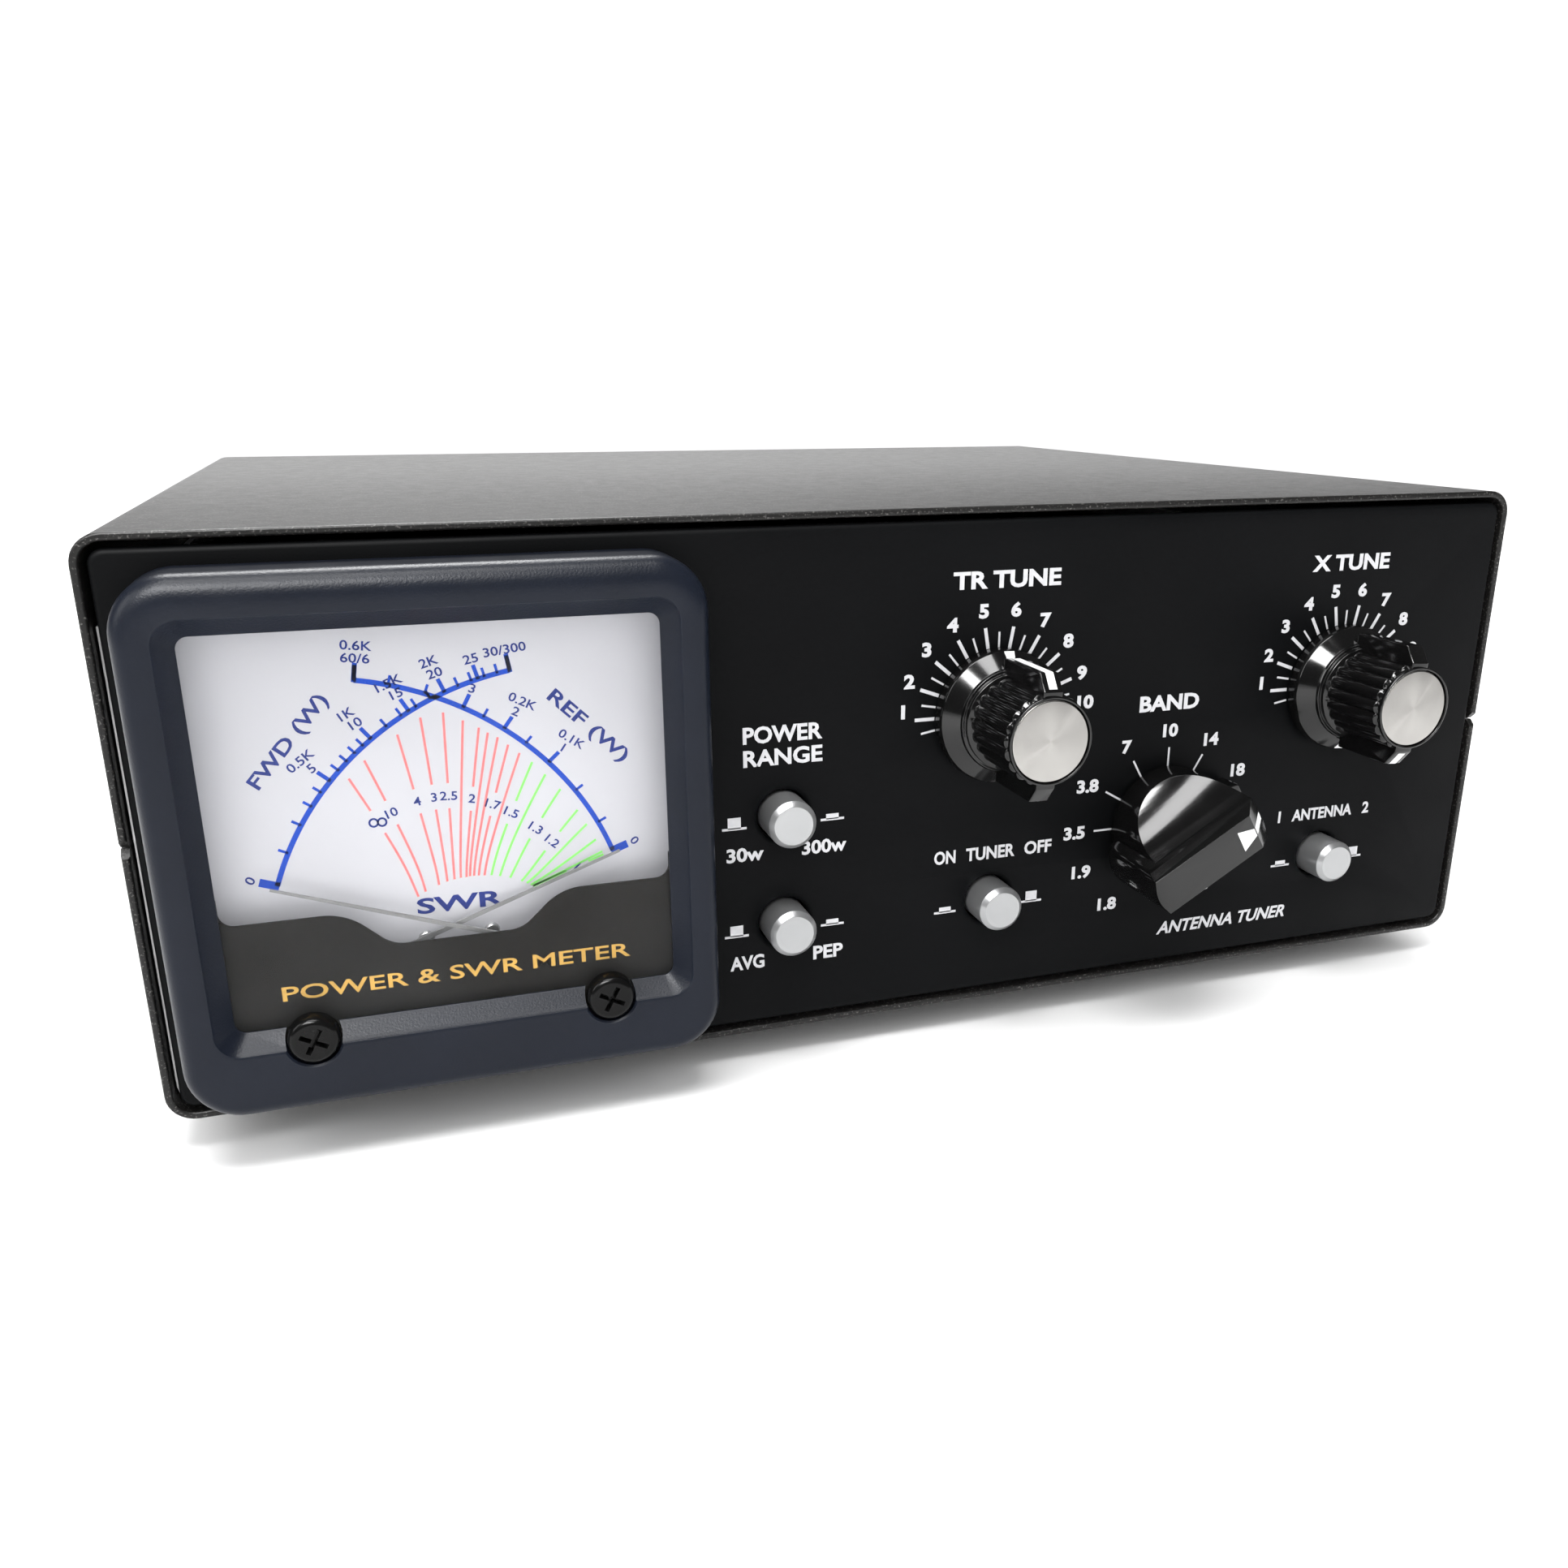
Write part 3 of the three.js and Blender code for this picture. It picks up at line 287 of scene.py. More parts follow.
    def done(self):
        self.link(self.base, self.shader.inputs["Base Color"])
        self.link(self.rough, self.shader.inputs["Roughness"])
        if self.height:
            self.link(self.height, self.shader.inputs["Normal"])
        return self.material


FINISHES = {}


def paint(name, colour, roughness, mottle, grain=None, speckle=None, wear=None, **sockets):
    """One material, kept under its name."""
    finish = Finish(name, colour, roughness, **sockets).mottle(*mottle)
    if speckle:
        finish.speckle(*speckle)
    if grain:
        finish.grain(*grain)
    # Rounded edges painted lighter: partly rubbed wear, partly a painted highlight.
    if wear:
        finish.wear(*wear)
    FINISHES[name] = finish.done()


# A material's wear entry paints its rounded edges lighter: partly rubbed wear and partly a painted
# highlight.
paint("cover_paint", (0.009, 0.0085, 0.008), 0.38, (0.06, 240), (2400, 0.04),
      (2600, (0.12, 0.115, 0.11), 0.40), (grey(0.05), 0.4, 0.4), Specular_IOR_Level=0.3)
paint("panel_paint", (0.0030, 0.0033, 0.0038), 0.5, (0.12, 30), (4200, 0.012),
      wear=((0.05, 0.05, 0.055), 0.35), Specular_IOR_Level=0.06)
paint("sheet_metal", grey(0.56), 0.36, (0.14, 45), (700, 0.02), Metallic=1.0)
paint("bezel_plastic", (0.0075, 0.0100, 0.0175), 0.34, (0.12, 55), (3000, 0.03),
      wear=((0.07, 0.08, 0.10), 0.4, 0.25), Specular_IOR_Level=0.18)
paint("clear_acrylic", (0.5, 0.53, 0.56), 0.05, (0.3, 40), Alpha=0.02)
paint("mask_print", (0.0070, 0.0054, 0.0032), 0.4, (0.12, 80), (2500, 0.01),
      Specular_IOR_Level=0.06)
paint("dial_print", (0.60, 0.60, 0.635), 0.6, (0.025, 35), (3000, 0.005), Specular_IOR_Level=0.1)
paint("plated_steel", grey(0.6), 0.3, (0.12, 120), (1500, 0.01), Metallic=1.0)
paint("needle_black", grey(0.22), 0.45, (0.2, 200), (3000, 0.005))
paint("black_plastic", grey(0.004), 0.2, (0.2, 150), (2400, 0.006), wear=(grey(0.03), 0.2, 0.4),
      Specular_IOR_Level=0.15)
paint("knob_plastic", grey(0.0035), 0.12, (0.15, 160), (700, 0.0015),
      wear=(grey(0.03), 0.1, 0.15), Coat_Weight=0.15, Coat_Roughness=0.05, Specular_IOR_Level=0.4)
paint("capacitor_metal", (0.62, 0.62, 0.6), 0.3, (0.15, 90), (1100, 0.015), Metallic=1.0)
paint("foot_rubber", grey(0.014), 0.85, (0.2, 200), (1800, 0.06), wear=(grey(0.06), 0.5))
paint("black_screw", grey(0.035), 0.32, (0.2, 300), (2500, 0.01), wear=(grey(0.4), 0.15, 0.7),
      Metallic=0.7)
paint("phenolic", (0.45, 0.30, 0.13), 0.5, (0.15, 70), (900, 0.03))
paint("copper_wire", (0.75, 0.33, 0.16), 0.25, (0.12, 60), (600, 0.03), Metallic=1.0)
paint("circuit_board", (0.02, 0.12, 0.05), 0.4, (0.2, 120), (500, 0.03))
paint("nickel_plate", (0.66, 0.64, 0.60), 0.24, (0.15, 140), (1500, 0.01), Metallic=1.0)
paint("brass_nut", (0.72, 0.53, 0.24), 0.26, (0.15, 140), (1500, 0.012), Metallic=1.0)
paint("button_silver", (0.40, 0.405, 0.41), 0.3, (0.05, 120), (3500, 0.006), Metallic=0.7)
paint("lettering", (0.62, 0.62, 0.64), 0.55, (0.06, 900), (4000, 0.01))
paint("pointer_white", grey(0.9), 0.5, (0.03, 300), (3000, 0.005))
paint("gold_print", (0.62, 0.36, 0.06), 0.35, (0.12, 400), (3000, 0.005), Metallic=0.2)
for ink, ink_colour, gloss in (("blue", (0.008, 0.065, 0.50), 0.1),
                               ("navy", (0.018, 0.035, 0.22), 0.1),
                               ("red", (0.93, 0.20, 0.20), 0.5), ("green", (0.25, 0.86, 0.15), 0.5)):
    paint(ink + "_print", ink_colour, 0.6, (0.1, 600), (3000, 0.004), Specular_IOR_Level=gloss)
paint("socket_resin", (0.85, 0.84, 0.80), 0.45, (0.05, 300), (1500, 0.01))


def spun_finish(name, centre):
    """Aluminium faced on a lathe: its light stands in sectors round the centre."""
    finish = Finish(name, (0.37, 0.36, 0.345), 0.22, Metallic=1.0, Anisotropic=0.95)
    finish.mottle(0.04, 300).rings(centre, 0.12, 0.002)
    tangent = finish.node("ShaderNodeTangent", direction_type="RADIAL", axis="Y")
    finish.link(tangent.outputs["Tangent"], finish.shader.inputs["Tangent"])
    return finish.done()


# ---- Shapes: every shape is a list of corners and a list of faces ----
def arc(x, z, radius, start, end, steps):
    """Points on an arc; its angles are in degrees, clockwise from straight up."""
    return [(x + radius * math.sin(math.radians(a)), z + radius * math.cos(math.radians(a)))
            for a in (start + (end - start) * i / steps for i in range(steps + 1))]


def circle(x, z, radius, steps=64):
    return arc(x, z, radius, 0, 360, steps)[:-1]


def filleted(corners, steps=6, closed=True):
    """A path through corners (a, b, radius), with each corner rounded by its radius."""
    path = []
    count = len(corners)
    for i, corner in enumerate(corners):
        here = Vector(corner[:2])
        radius = corner[2] if len(corner) > 2 else 0
        if not radius or (not closed and i in (0, count - 1)):
            path.append(tuple(here))
            continue
        back = (Vector(corners[i - 1][:2]) - here)
        ahead = (Vector(corners[(i + 1) % count][:2]) - here)
        half = back.angle(ahead) / 2
        reach = min(radius / math.tan(half), back.length * 0.499, ahead.length * 0.499)
        radius = reach * math.tan(half)
        bisector = (back.normalized() + ahead.normalized()).normalized()
        centre = here + bisector * (radius / math.sin(half))
        first = here + back.normalized() * reach - centre
        turn = first.angle_signed(here + ahead.normalized() * reach - centre)
        for k in range(steps + 1):
            path.append(tuple(centre + Matrix.Rotation(-turn * k / steps, 2) @ first))
    return path


def rounded_rect(x, z, width, height, radius, steps=8):
    w, h = width / 2, height / 2
    return filleted([(x - w, z - h, radius), (x + w, z - h, radius), (x + w, z + h, radius),
                     (x - w, z + h, radius)], steps)


def combined(*shapes):
    corners, faces = [], []
    for shape_corners, shape_faces in shapes:
        shift = len(corners)
        corners += list(shape_corners)
        faces += [tuple(i + shift for i in face) for face in shape_faces]
    return corners, faces


def moved(shape, matrix):
    return [matrix @ Vector(c) for c in shape[0]], shape[1]


def loft(rings, closed=False):
    """A skin over rings of equally many points; the two ends are capped unless it is closed."""
    size = len(rings[0])
    corners = [point for ring in rings for point in ring]
    faces = []
    last = len(rings) if closed else len(rings) - 1
    for i in range(last):
        a, b = i * size, (i + 1) % len(rings) * size
        faces += [(a + k, a + (k + 1) % size, b + (k + 1) % size, b + k) for k in range(size)]
    if not closed:
        faces += [tuple(range(size))[::-1], tuple(range(last * size, (last + 1) * size))]
    return corners, faces


def at_depth(points, y):
    return [(x, y, z) for x, z in points]


def turned(profile, x=0, z=0, steps=96, closed=False):
    """A profile of (radius, y) points turned about the Y axis through (x, z)."""
    corners, faces, rows = [], [], []
    for radius, y in profile:
        if radius < 1e-6:
            rows.append([len(corners)] * steps)
            corners.append((x, y, z))
            continue
        rows.append(list(range(len(corners), len(corners) + steps)))
        corners += at_depth(circle(x, z, radius, steps), y)
    pairs = list(zip(rows, rows[1:])) + ([(rows[-1], rows[0])] if closed else [])
    for a, b in pairs:
        for k in range(steps):
            n = (k + 1) % steps
            face = list(dict.fromkeys([a[k], a[n], b[n], b[k]]))
            if len(face) > 2:
                faces.append(tuple(face))
    return corners, faces


WELD = 0.0002


def from_curve(curve):
    """The shape of a curve or a text, and the curve is removed."""
    holder = bpy.data.objects.new("outline", curve)
    bpy.context.scene.collection.objects.link(holder)
    graph = bpy.context.evaluated_depsgraph_get()
    mesh = bpy.data.meshes.new_from_object(holder.evaluated_get(graph))
    bm = bmesh.new()
    bm.from_mesh(mesh)
    bmesh.ops.remove_doubles(bm, verts=bm.verts, dist=WELD)
    bm.to_mesh(mesh)
    bm.free()
    shape = [v.co.copy() for v in mesh.vertices], [tuple(p.vertices) for p in mesh.polygons]
    bpy.data.objects.remove(holder)
    bpy.data.meshes.remove(mesh)
    return shape


LAID_UPRIGHT = Matrix.Rotation(math.radians(90), 4, "X")


def plate(loops, y0, y1, edge=0.0, edge_steps=3):
    """A flat plate with holes, between two depths, whose edges are rounded."""
    curve = bpy.data.curves.new("outline", "CURVE")
    curve.dimensions = "2D"
    curve.fill_mode = "BOTH"
    for loop in loops:
        spline = curve.splines.new("POLY")
        spline.points.add(len(loop) - 1)
        for point, (x, z) in zip(spline.points, loop):
            point.co = (x, z, 0, 1)
        spline.use_cyclic_u = True
    curve.extrude = (y1 - y0) / 2 - edge
    curve.bevel_depth = edge
    curve.bevel_resolution = edge_steps
    curve.offset = -edge
    shape = from_curve(curve)
    bpy.data.curves.remove(curve)
    return moved(shape, Matrix.Translation((0, (y0 + y1) / 2, 0)) @ LAID_UPRIGHT)


def raw_letters(text, weight, thickness):
    curve = bpy.data.curves.new("letters", "FONT")
    curve.body = text
    curve.align_x = "CENTER"
    curve.offset = weight
    curve.extrude = thickness / 2
    curve.resolution_u = 3
    shape = from_curve(curve)
    bpy.data.curves.remove(curve)
    return shape


CAPITAL = max(c.y for c in raw_letters("H", 0, 0.1)[0])
LETTER_THICKNESS = 0.06


def letters(text, x, z, capital, y, width=None, angle=0, weight=0.02, slant=0.0, stretch=1.0):
    """Generic lettering centred on (x, z) and just proud of a face at depth y. Its capitals have
    the given height, and it is fitted to a width if there is one."""
    corners, faces = raw_letters(text, weight, 1)
    low, high = (f(c.x for c in corners) for f in (min, max))
    scale = capital / (CAPITAL + 2 * weight)
    across = width / (high - low) if width else scale * stretch
    fit = Matrix.Diagonal((across, scale, LETTER_THICKNESS, 1))
    fit = fit @ Matrix.Translation((-(low + high) / 2, -CAPITAL / 2, 0))
    shear = Matrix.Identity(4)
    shear[0][1] = slant
    place = Matrix.Translation((x, y, z)) @ LAID_UPRIGHT
    return moved((corners, faces), place @ Matrix.Rotation(-math.radians(angle), 4, "Z") @ shear
                 @ fit)


def strip(left, right, y0, y1):
    """A flat ribbon between two paths in x and z, between two depths."""
    corners = []
    for (lx, lz), (rx, rz) in zip(left, right):
        corners += [(lx, y0, lz), (rx, y0, rz), (rx, y1, rz), (lx, y1, lz)]
    faces = [(0, 1, 2, 3)]
    for i in range(len(left) - 1):
        a, b = 4 * i, 4 * i + 4
        faces += [(a + k, b + k, b + (k + 1) % 4, a + (k + 1) % 4) for k in range(4)]
    end = 4 * (len(left) - 1)
    faces.append((end + 3, end + 2, end + 1, end))
    return corners, faces


def printed(path, width, y, taper=1.0):
    """A printed line of some width along a path, just proud of a face at depth y."""
    left, right = [], []
    for i, point in enumerate(path):
        a, b = path[max(i - 1, 0)], path[min(i + 1, len(path) - 1)]
        along = (Vector(b) - Vector(a)).normalized()
        half = width / 2 * (1 + (taper - 1) * i / (len(path) - 1))
        left.append((point[0] - along.y * half, point[1] + along.x * half))
        right.append((point[0] + along.y * half, point[1] - along.x * half))
    return strip(left, right, y - LETTER_THICKNESS / 2, y + LETTER_THICKNESS / 2)


def printed_ring(x, z, radius, width, y):
    """A printed circle."""
    half, deep = width / 2, LETTER_THICKNESS / 2
    rings = []
    for inner, outer in zip(circle(x, z, radius - half, 24), circle(x, z, radius + half, 24)):
        rings.append([(outer[0], y - deep, outer[1]), (outer[0], y + deep, outer[1]),
                      (inner[0], y + deep, inner[1]), (inner[0], y - deep, inner[1])])
    return loft(rings, closed=True)


def ray(x, z, degrees, inner, outer):
    return [arc(x, z, r, degrees, degrees, 1)[0] for r in (inner, outer)]


# ---- Pieces ----
def mesh_of(name, shape, sharp, to_world=CASE):
    bm = bmesh.new()
    made = [bm.verts.new(to_world @ Vector(c)) for c in shape[0]]
    for face in shape[1]:
        points = list(dict.fromkeys(face))
        if len(points) > 2 and not bm.faces.get([made[i] for i in points]):
            bm.faces.new([made[i] for i in points])
    bmesh.ops.recalc_face_normals(bm, faces=bm.faces)
    mesh = bpy.data.meshes.new(name)
    bm.to_mesh(mesh)
    bm.free()
    soften(mesh, sharp)
    return mesh


def soften(mesh, sharp):
    """Faces are shaded smooth, and edges over an angle stay crisp."""
    bm = bmesh.new()
    bm.from_mesh(mesh)
    for face in bm.faces:
        face.smooth = True
    limit = math.radians(sharp)
    for edge in bm.edges:
        edge.smooth = len(edge.link_faces) == 2 and edge.calc_face_angle(0) < limit
    bm.to_mesh(mesh)
    bm.free()


def piece(name, shape, finish, body="case", stands_for=(), sharp=32, material=None):
    made = bpy.data.objects.new(name, mesh_of(name, shape, sharp))
    bpy.context.scene.collection.objects.link(made)
    made.data.materials.append(material or FINISHES[finish])
    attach(made, body)
    if stands_for:
        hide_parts(*([stands_for] if isinstance(stands_for, str) else stands_for))
    return made


def evaluated(target):
    """The shape of an object with its modifiers, and the object is removed."""
    bpy.context.view_layer.update()
    graph = bpy.context.evaluated_depsgraph_get()
    mesh = bpy.data.meshes.new_from_object(target.evaluated_get(graph))
    shape = [v.co.copy() for v in mesh.vertices], [tuple(p.vertices) for p in mesh.polygons]
    bpy.data.objects.remove(target)
    bpy.data.meshes.remove(mesh)
    return shape


def drafted(shape):
    """A shape as an object in millimetres, where the solver is exact enough for small fillets."""
    made = bpy.data.objects.new("draft", mesh_of("draft", shape, 30, Matrix()))
    bpy.context.scene.collection.objects.link(made)
    return made


def worked(shape, tools, operation="DIFFERENCE"):
    """A shape with others cut from it, joined to it or shared with it."""
    for tool in tools:
        target, helper = drafted(shape), drafted(tool)
        modifier = target.modifiers.new("solid", "BOOLEAN")
        modifier.operation = operation
        modifier.solver = "MANIFOLD"
        modifier.object = helper
        shape = evaluated(target)
        bpy.data.objects.remove(helper)
    return shape


def rounded(shape, width, sharp=32):
    """A shape whose crisp edges are rounded."""
    target = drafted(shape)
    modifier = target.modifiers.new("edge", "BEVEL")
    modifier.width = width
    modifier.segments = 3
    modifier.limit_method = "ANGLE"
    modifier.angle_limit = math.radians(sharp)
    return evaluated(target)


def coat(node, finish):
    """A CAD node that keeps its own shape gets a finish."""
    target = frame["nodes"][node]
    if not target.material_slots:
        target.data.materials.append(None)
    for material_slot in target.material_slots:
        material_slot.material = FINISHES[finish]


# ---- Case ----
CASE_LOW, CASE_TOP = span("bottom_cover")[0], span("top_cover")[1]
CASE_HALF = CASE_TOP.x
CASE_BACK = CASE_TOP.y
SEAM_Z = (span("bottom_cover")[1].z + span("top_cover")[0].z) / 2
SEAM_GAP = span("top_cover")[0].z - span("bottom_cover")[1].z
CASE_CORNER = 4.5
SHEET = 1.2
SEAM_NOTCH = 1.4
COVER_SCREWS = [node for node in frame["nodes"] if "_cover_screw_" in node]
SCREW_HOLE = 1.8
RECESS_TAPER = 0.6
FOOT = {"bore": 2, "counterbore": 4.2, "floor": 2.5, "taper": 1}


def cover_outline(sign, edge_z):
    """The U of one shell: sign is 1 for the upper shell and -1 for the lower one."""
    crown = CASE_TOP.z if sign > 0 else 0
    half = CASE_HALF
    outer = [(-half, edge_z, 0), (-half, crown, CASE_CORNER), (half, crown, CASE_CORNER),
             (half, edge_z, 0)]
    inner = [(x - math.copysign(SHEET, x), z if z == edge_z else z - sign * SHEET,
              max(0, r - SHEET)) for x, z, r in reversed(outer)]
    return filleted(outer + inner, 8)


def tube_across(y, z, radius, steps, half=CASE_HALF + 2):
    """A bar along X, for cutting both side walls."""
    bar = turned([(0, -half), (radius, -half), (radius, half), (0, half)], steps=steps)
    return moved(bar, placed(0, y, z, 90, "Z"))


def cross_recess(radius, width, y0, y1):
    """The cross of a recessed screw head, with arms that taper towards their ends."""
    arms = []
    for turn in (0, 90):
        outline = [(-radius, -width / 2), (radius, -width / 2), (radius, width / 2),
                   (-radius, width / 2)]
        bottom = [(x * RECESS_TAPER, z * RECESS_TAPER) for x, z in outline]
        rings = [at_depth(outline, y0), at_depth(bottom, y1)]
        arms.append(moved(loft(rings), placed(0, 0, 0, turn)))
    return arms


def make_covers():
    for sign, name in ((1, "top_cover"), (-1, "bottom_cover")):
        edge_z = SEAM_Z + sign * SEAM_GAP / 2
        shell = plate([cover_outline(sign, edge_z)], 0, CASE_BACK, 0.4)
        tools = [tube_across(y, SEAM_Z, SEAM_NOTCH, 4) for y in (0, CASE_BACK)]
        for y, z in sorted({(round(middle(s).y, 2), round(middle(s).z, 2))
                            for s in COVER_SCREWS if s.startswith(name)}):
            tools.append(tube_across(y, z, SCREW_HOLE, 24))
        piece(name + "_shell", worked(shell, tools), "cover_paint", stands_for=name)


def make_cover_screws():
    for node in COVER_SCREWS:
        low, high = span(node)
        side = 1 if high.x > 0 else -1
        radius = (high.z - low.z) / 2
        height = max(abs(high.x), abs(low.x)) - CASE_HALF
        length = CASE_HALF - min(abs(high.x), abs(low.x))
        shank = radius / 2
        profile = filleted([(0, -height), (radius * 0.72, -height, 0.5), (radius, -height * 0.35, 0.2),
                            (radius, 0, 0), (shank, 0, 0), (shank, length, 0), (0, length, 0)], 5,
                           closed=False)
        screw = worked(turned(profile, steps=48), cross_recess(1.7, 0.75, -height - 0.4, -0.35))
        centre = middle(node)
        place = placed(side * CASE_HALF, centre.y, centre.z, 90 * side, "Z")
        piece(node + "_head", moved(screw, place), "black_screw", stands_for=node)


def make_feet():
    for node in [n for n in frame["nodes"] if n.startswith("foot_")]:
        low, high = span(node)
        top, height = (high.x - low.x) / 2, high.z - low.z
        bore, wide, floor = FOOT["bore"], FOOT["counterbore"], height - FOOT["floor"]
        profile = filleted([(bore, 0), (bore, floor), (wide, floor), (wide, height, 0.3),
                            (top - FOOT["taper"], height, 1.0), (top, 0.8, 0.5), (top, 0, 0.2)], 5)
        lay = placed(middle(node).x, middle(node).y, high.z, -90, "X")
        piece(node + "_rubber", moved(turned(profile, steps=64, closed=True), lay), "foot_rubber",
              stands_for=node)


# ---- Front panel and its printing ----
TUNERS = {"transmitter": "TR TUNE", "antenna": "X TUNE"}
BUTTONS = ["power_range", "meter_mode", "tuner_bypass", "antenna_select"]
BAND = AXES["band_turn"]
METER = middle("meter_window")
PANEL_EDGE = 0.9
PRINT_Y = 0.0
SHAFT_HOLE = 3.7
BUTTON_HOLE = 4.6
BAND_HOLE = 4.8
METER_HOLE = (73, 67)


def panel_outline(node, radius=2.3):
    low, high = span(node)
    centre = (low + high) / 2
    return rounded_rect(centre.x, centre.z, high.x - low.x, high.z - low.z, radius)


def make_front_panel():
    meter_case = middle("meter_case")
    loops = [panel_outline("front_panel"),
             rounded_rect(meter_case.x, meter_case.z, *METER_HOLE, 1.5),
             circle(BAND.x, BAND.z, BAND_HOLE)]
    for tuner in TUNERS:
        axis = AXES[tuner + "_tune_turn"]
        loops.append(circle(axis.x, axis.z, SHAFT_HOLE))
    for button in BUTTONS:
        centre = middle(button + "_button")
        loops.append(circle(centre.x, centre.z, BUTTON_HOLE))
    thickness = span("front_panel")[1].y
    piece("front_panel_plate", plate(loops, 0, thickness, PANEL_EDGE), "panel_paint",
          stands_for="front_panel")


TUNE_SCALE = {"step": 20, "inner": 11.9, "major": 15.6, "half": 14.6, "digits": 17.8, "lift": 0.8}
DIGIT_SHIFTS = {1: 0.8, 9: -0.6}
BAND_NAMES = ["1.8", "1.9", "3.5", "3.8", "7", "10", "14", "18", "21", "28", "50"]
BAND_SCALE = {"step": 30, "first": -150, "inner": 7.5, "outer": 15, "labels": 18.3}
BAND_LABEL_SHIFTS = {"1.8": (6, 0.5), "1.9": (5, 0.6), "3.5": (0, 0.8), "3.8": (-2, 0.8),
                     "28": (-5, 1.7), "50": (-6, -1.3)}
TUNE_TITLES = {"transmitter": (1.25, 20.5), "antenna": (-0.25, 17.5)}
TITLE = {"above": 23.7, "capital": 3.0, "weight": 0.035}
SCALE_DIGIT = 2.5
PRESS_ICON = {"side": 8.8, "below": 1.5, "half": 2.15, "line": 0.42, "block": 2.3, "out": 2.0,
              "in": 1.0}
# For each button its words: text, offsets in x and z, height of a capital, and width if fitted.
BUTTON_WORDS = {
    "power_range": [("POWER", 0, 14.6, 2.9, 14.0), ("RANGE", 0, 10.6, 2.9, 14.0),
                    ("30w", -7, -6.3, 2.5, 6.6), ("300w", 7.3, -6.3, 2.5, 8.2)],
    "meter_mode": [("AVG", -7, -6.7, 2.6, 6.2), ("PEP", 8, -6.6, 2.6, 5.6)],
    "tuner_bypass": [("ON", -9.1, 9.2, 2.5, 4.2), ("TUNER", 0, 9.2, 2.5, 9.8),
                     ("OFF", 9.7, 9.2, 2.5, 5.6)],
    "antenna_select": [("1", -10.2, 8.8, 2.4, None), ("ANTENNA", 0, 8.8, 2.4, 14.4),
                       ("2", 10.6, 8.8, 2.4, None)],
}


def tune_scale(x, z):
    """Ten marks, 20 degrees apart, with half marks between them and one beyond each end."""
    shapes = []
    for half in range(-1, 20):
        angle = -90 + half * TUNE_SCALE["step"] / 2
        major = half % 2 == 0
        outer = TUNE_SCALE["major" if major else "half"]
        shapes.append(printed(ray(x, z, angle, TUNE_SCALE["inner"], outer), 0.62 if major else 0.36,
                              PRINT_Y))
        if major:
            number = half // 2 + 1
            dx, dz = arc(x, z + TUNE_SCALE["lift"], TUNE_SCALE["digits"], angle, angle, 1)[0]
            dz += DIGIT_SHIFTS.get(number, 0)
            shapes.append(letters(str(number), dx, dz, SCALE_DIGIT, PRINT_Y, weight=0.045,
                                  stretch=1.2))
    return shapes


def band_scale():
    shapes = []
    for i, name in enumerate(BAND_NAMES):
        angle = BAND_SCALE["first"] + i * BAND_SCALE["step"]
        if i > 1:
            path = ray(BAND.x, BAND.z, angle, BAND_SCALE["inner"], BAND_SCALE["outer"])
            shapes.append(printed(path, 0.36, PRINT_Y))
        turn, out = BAND_LABEL_SHIFTS.get(name, (0, 0))
        dx, dz = arc(BAND.x, BAND.z, BAND_SCALE["labels"] + out, angle + turn, angle + turn, 1)[0]
        shapes.append(letters(name, dx, dz, SCALE_DIGIT, PRINT_Y, weight=0.04, stretch=1.15))
    return shapes


def press_icon(x, z, tall):
    """A button's outline from the side: tall for out and short for in."""
    icon = PRESS_ICON
    height = icon["out" if tall else "in"]
    return [printed([(x - icon["half"], z), (x + icon["half"], z)], icon["line"], PRINT_Y),
            printed([(x, z), (x, z + height)], icon["block"], PRINT_Y)]


def panel_title(text, x, z, width):
    return letters(text, x, z + TITLE["above"], TITLE["capital"], PRINT_Y, width,
                   weight=TITLE["weight"])


def make_panel_printing():
    for tuner, title in TUNERS.items():
        axis = AXES[tuner + "_tune_turn"]
        offset, width = TUNE_TITLES[tuner]
        shapes = [*tune_scale(axis.x, axis.z), panel_title(title, axis.x + offset, axis.z, width)]
        piece(tuner + "_scale_print", combined(*shapes), "lettering")
    title = panel_title("BAND", BAND.x - 0.7, BAND.z, 12.7)
    piece("band_scale_print", combined(title, *band_scale()), "lettering")

    shapes, icons = [], []
    for button, words in BUTTON_WORDS.items():
        place = middle(button + "_button")
        for text, dx, dz, capital, width in words:
            shapes.append(letters(text, place.x + dx, place.z + dz, capital, PRINT_Y, width,
                                  weight=0.03))
        tall_side = -1 if button in ("power_range", "meter_mode") else 1
        for side in (-1, 1):
            icons += press_icon(place.x + side * PRESS_ICON["side"], place.z - PRESS_ICON["below"],
                                side == tall_side)
    piece("button_labels_print", combined(*shapes, *icons), "lettering")
    title = letters("ANTENNA TUNER", 68.3, 9.0, 2.6, PRINT_Y, 30, weight=0.025, slant=0.25)
    piece("title_print", title, "lettering")


# ---- Meter ----
BEZEL_LOW, BEZEL_HIGH = span("meter_bezel")
LIP = -BEZEL_LOW.y
WINDOW_LOW, WINDOW_HIGH = span("meter_window")
OPENING = {"z": 47.7, "width": 67.1, "height": 60.2, "corner": 1.8, "flare": 2.6}
BEZEL_CORNER = 8.5
ROLL = {"side": 2.3, "top": 3.9, "depth": 3.0, "steps": 8}
ADJUSTER_RECESS = {"radius": 4.1, "floor": -7.9}
ADJUSTER_CAP = {"back": -8.4, "stem": 1.3, "turn": 0.5}
ADJUSTERS = [middle("forward_zero_adjuster"), middle("reflected_zero_adjuster")]
DIAL_Y = span("meter_scale_plate")[0].y
PIVOTS = {name: AXES[name + "_pointer_swing"] for name in ("forward", "reflected")}


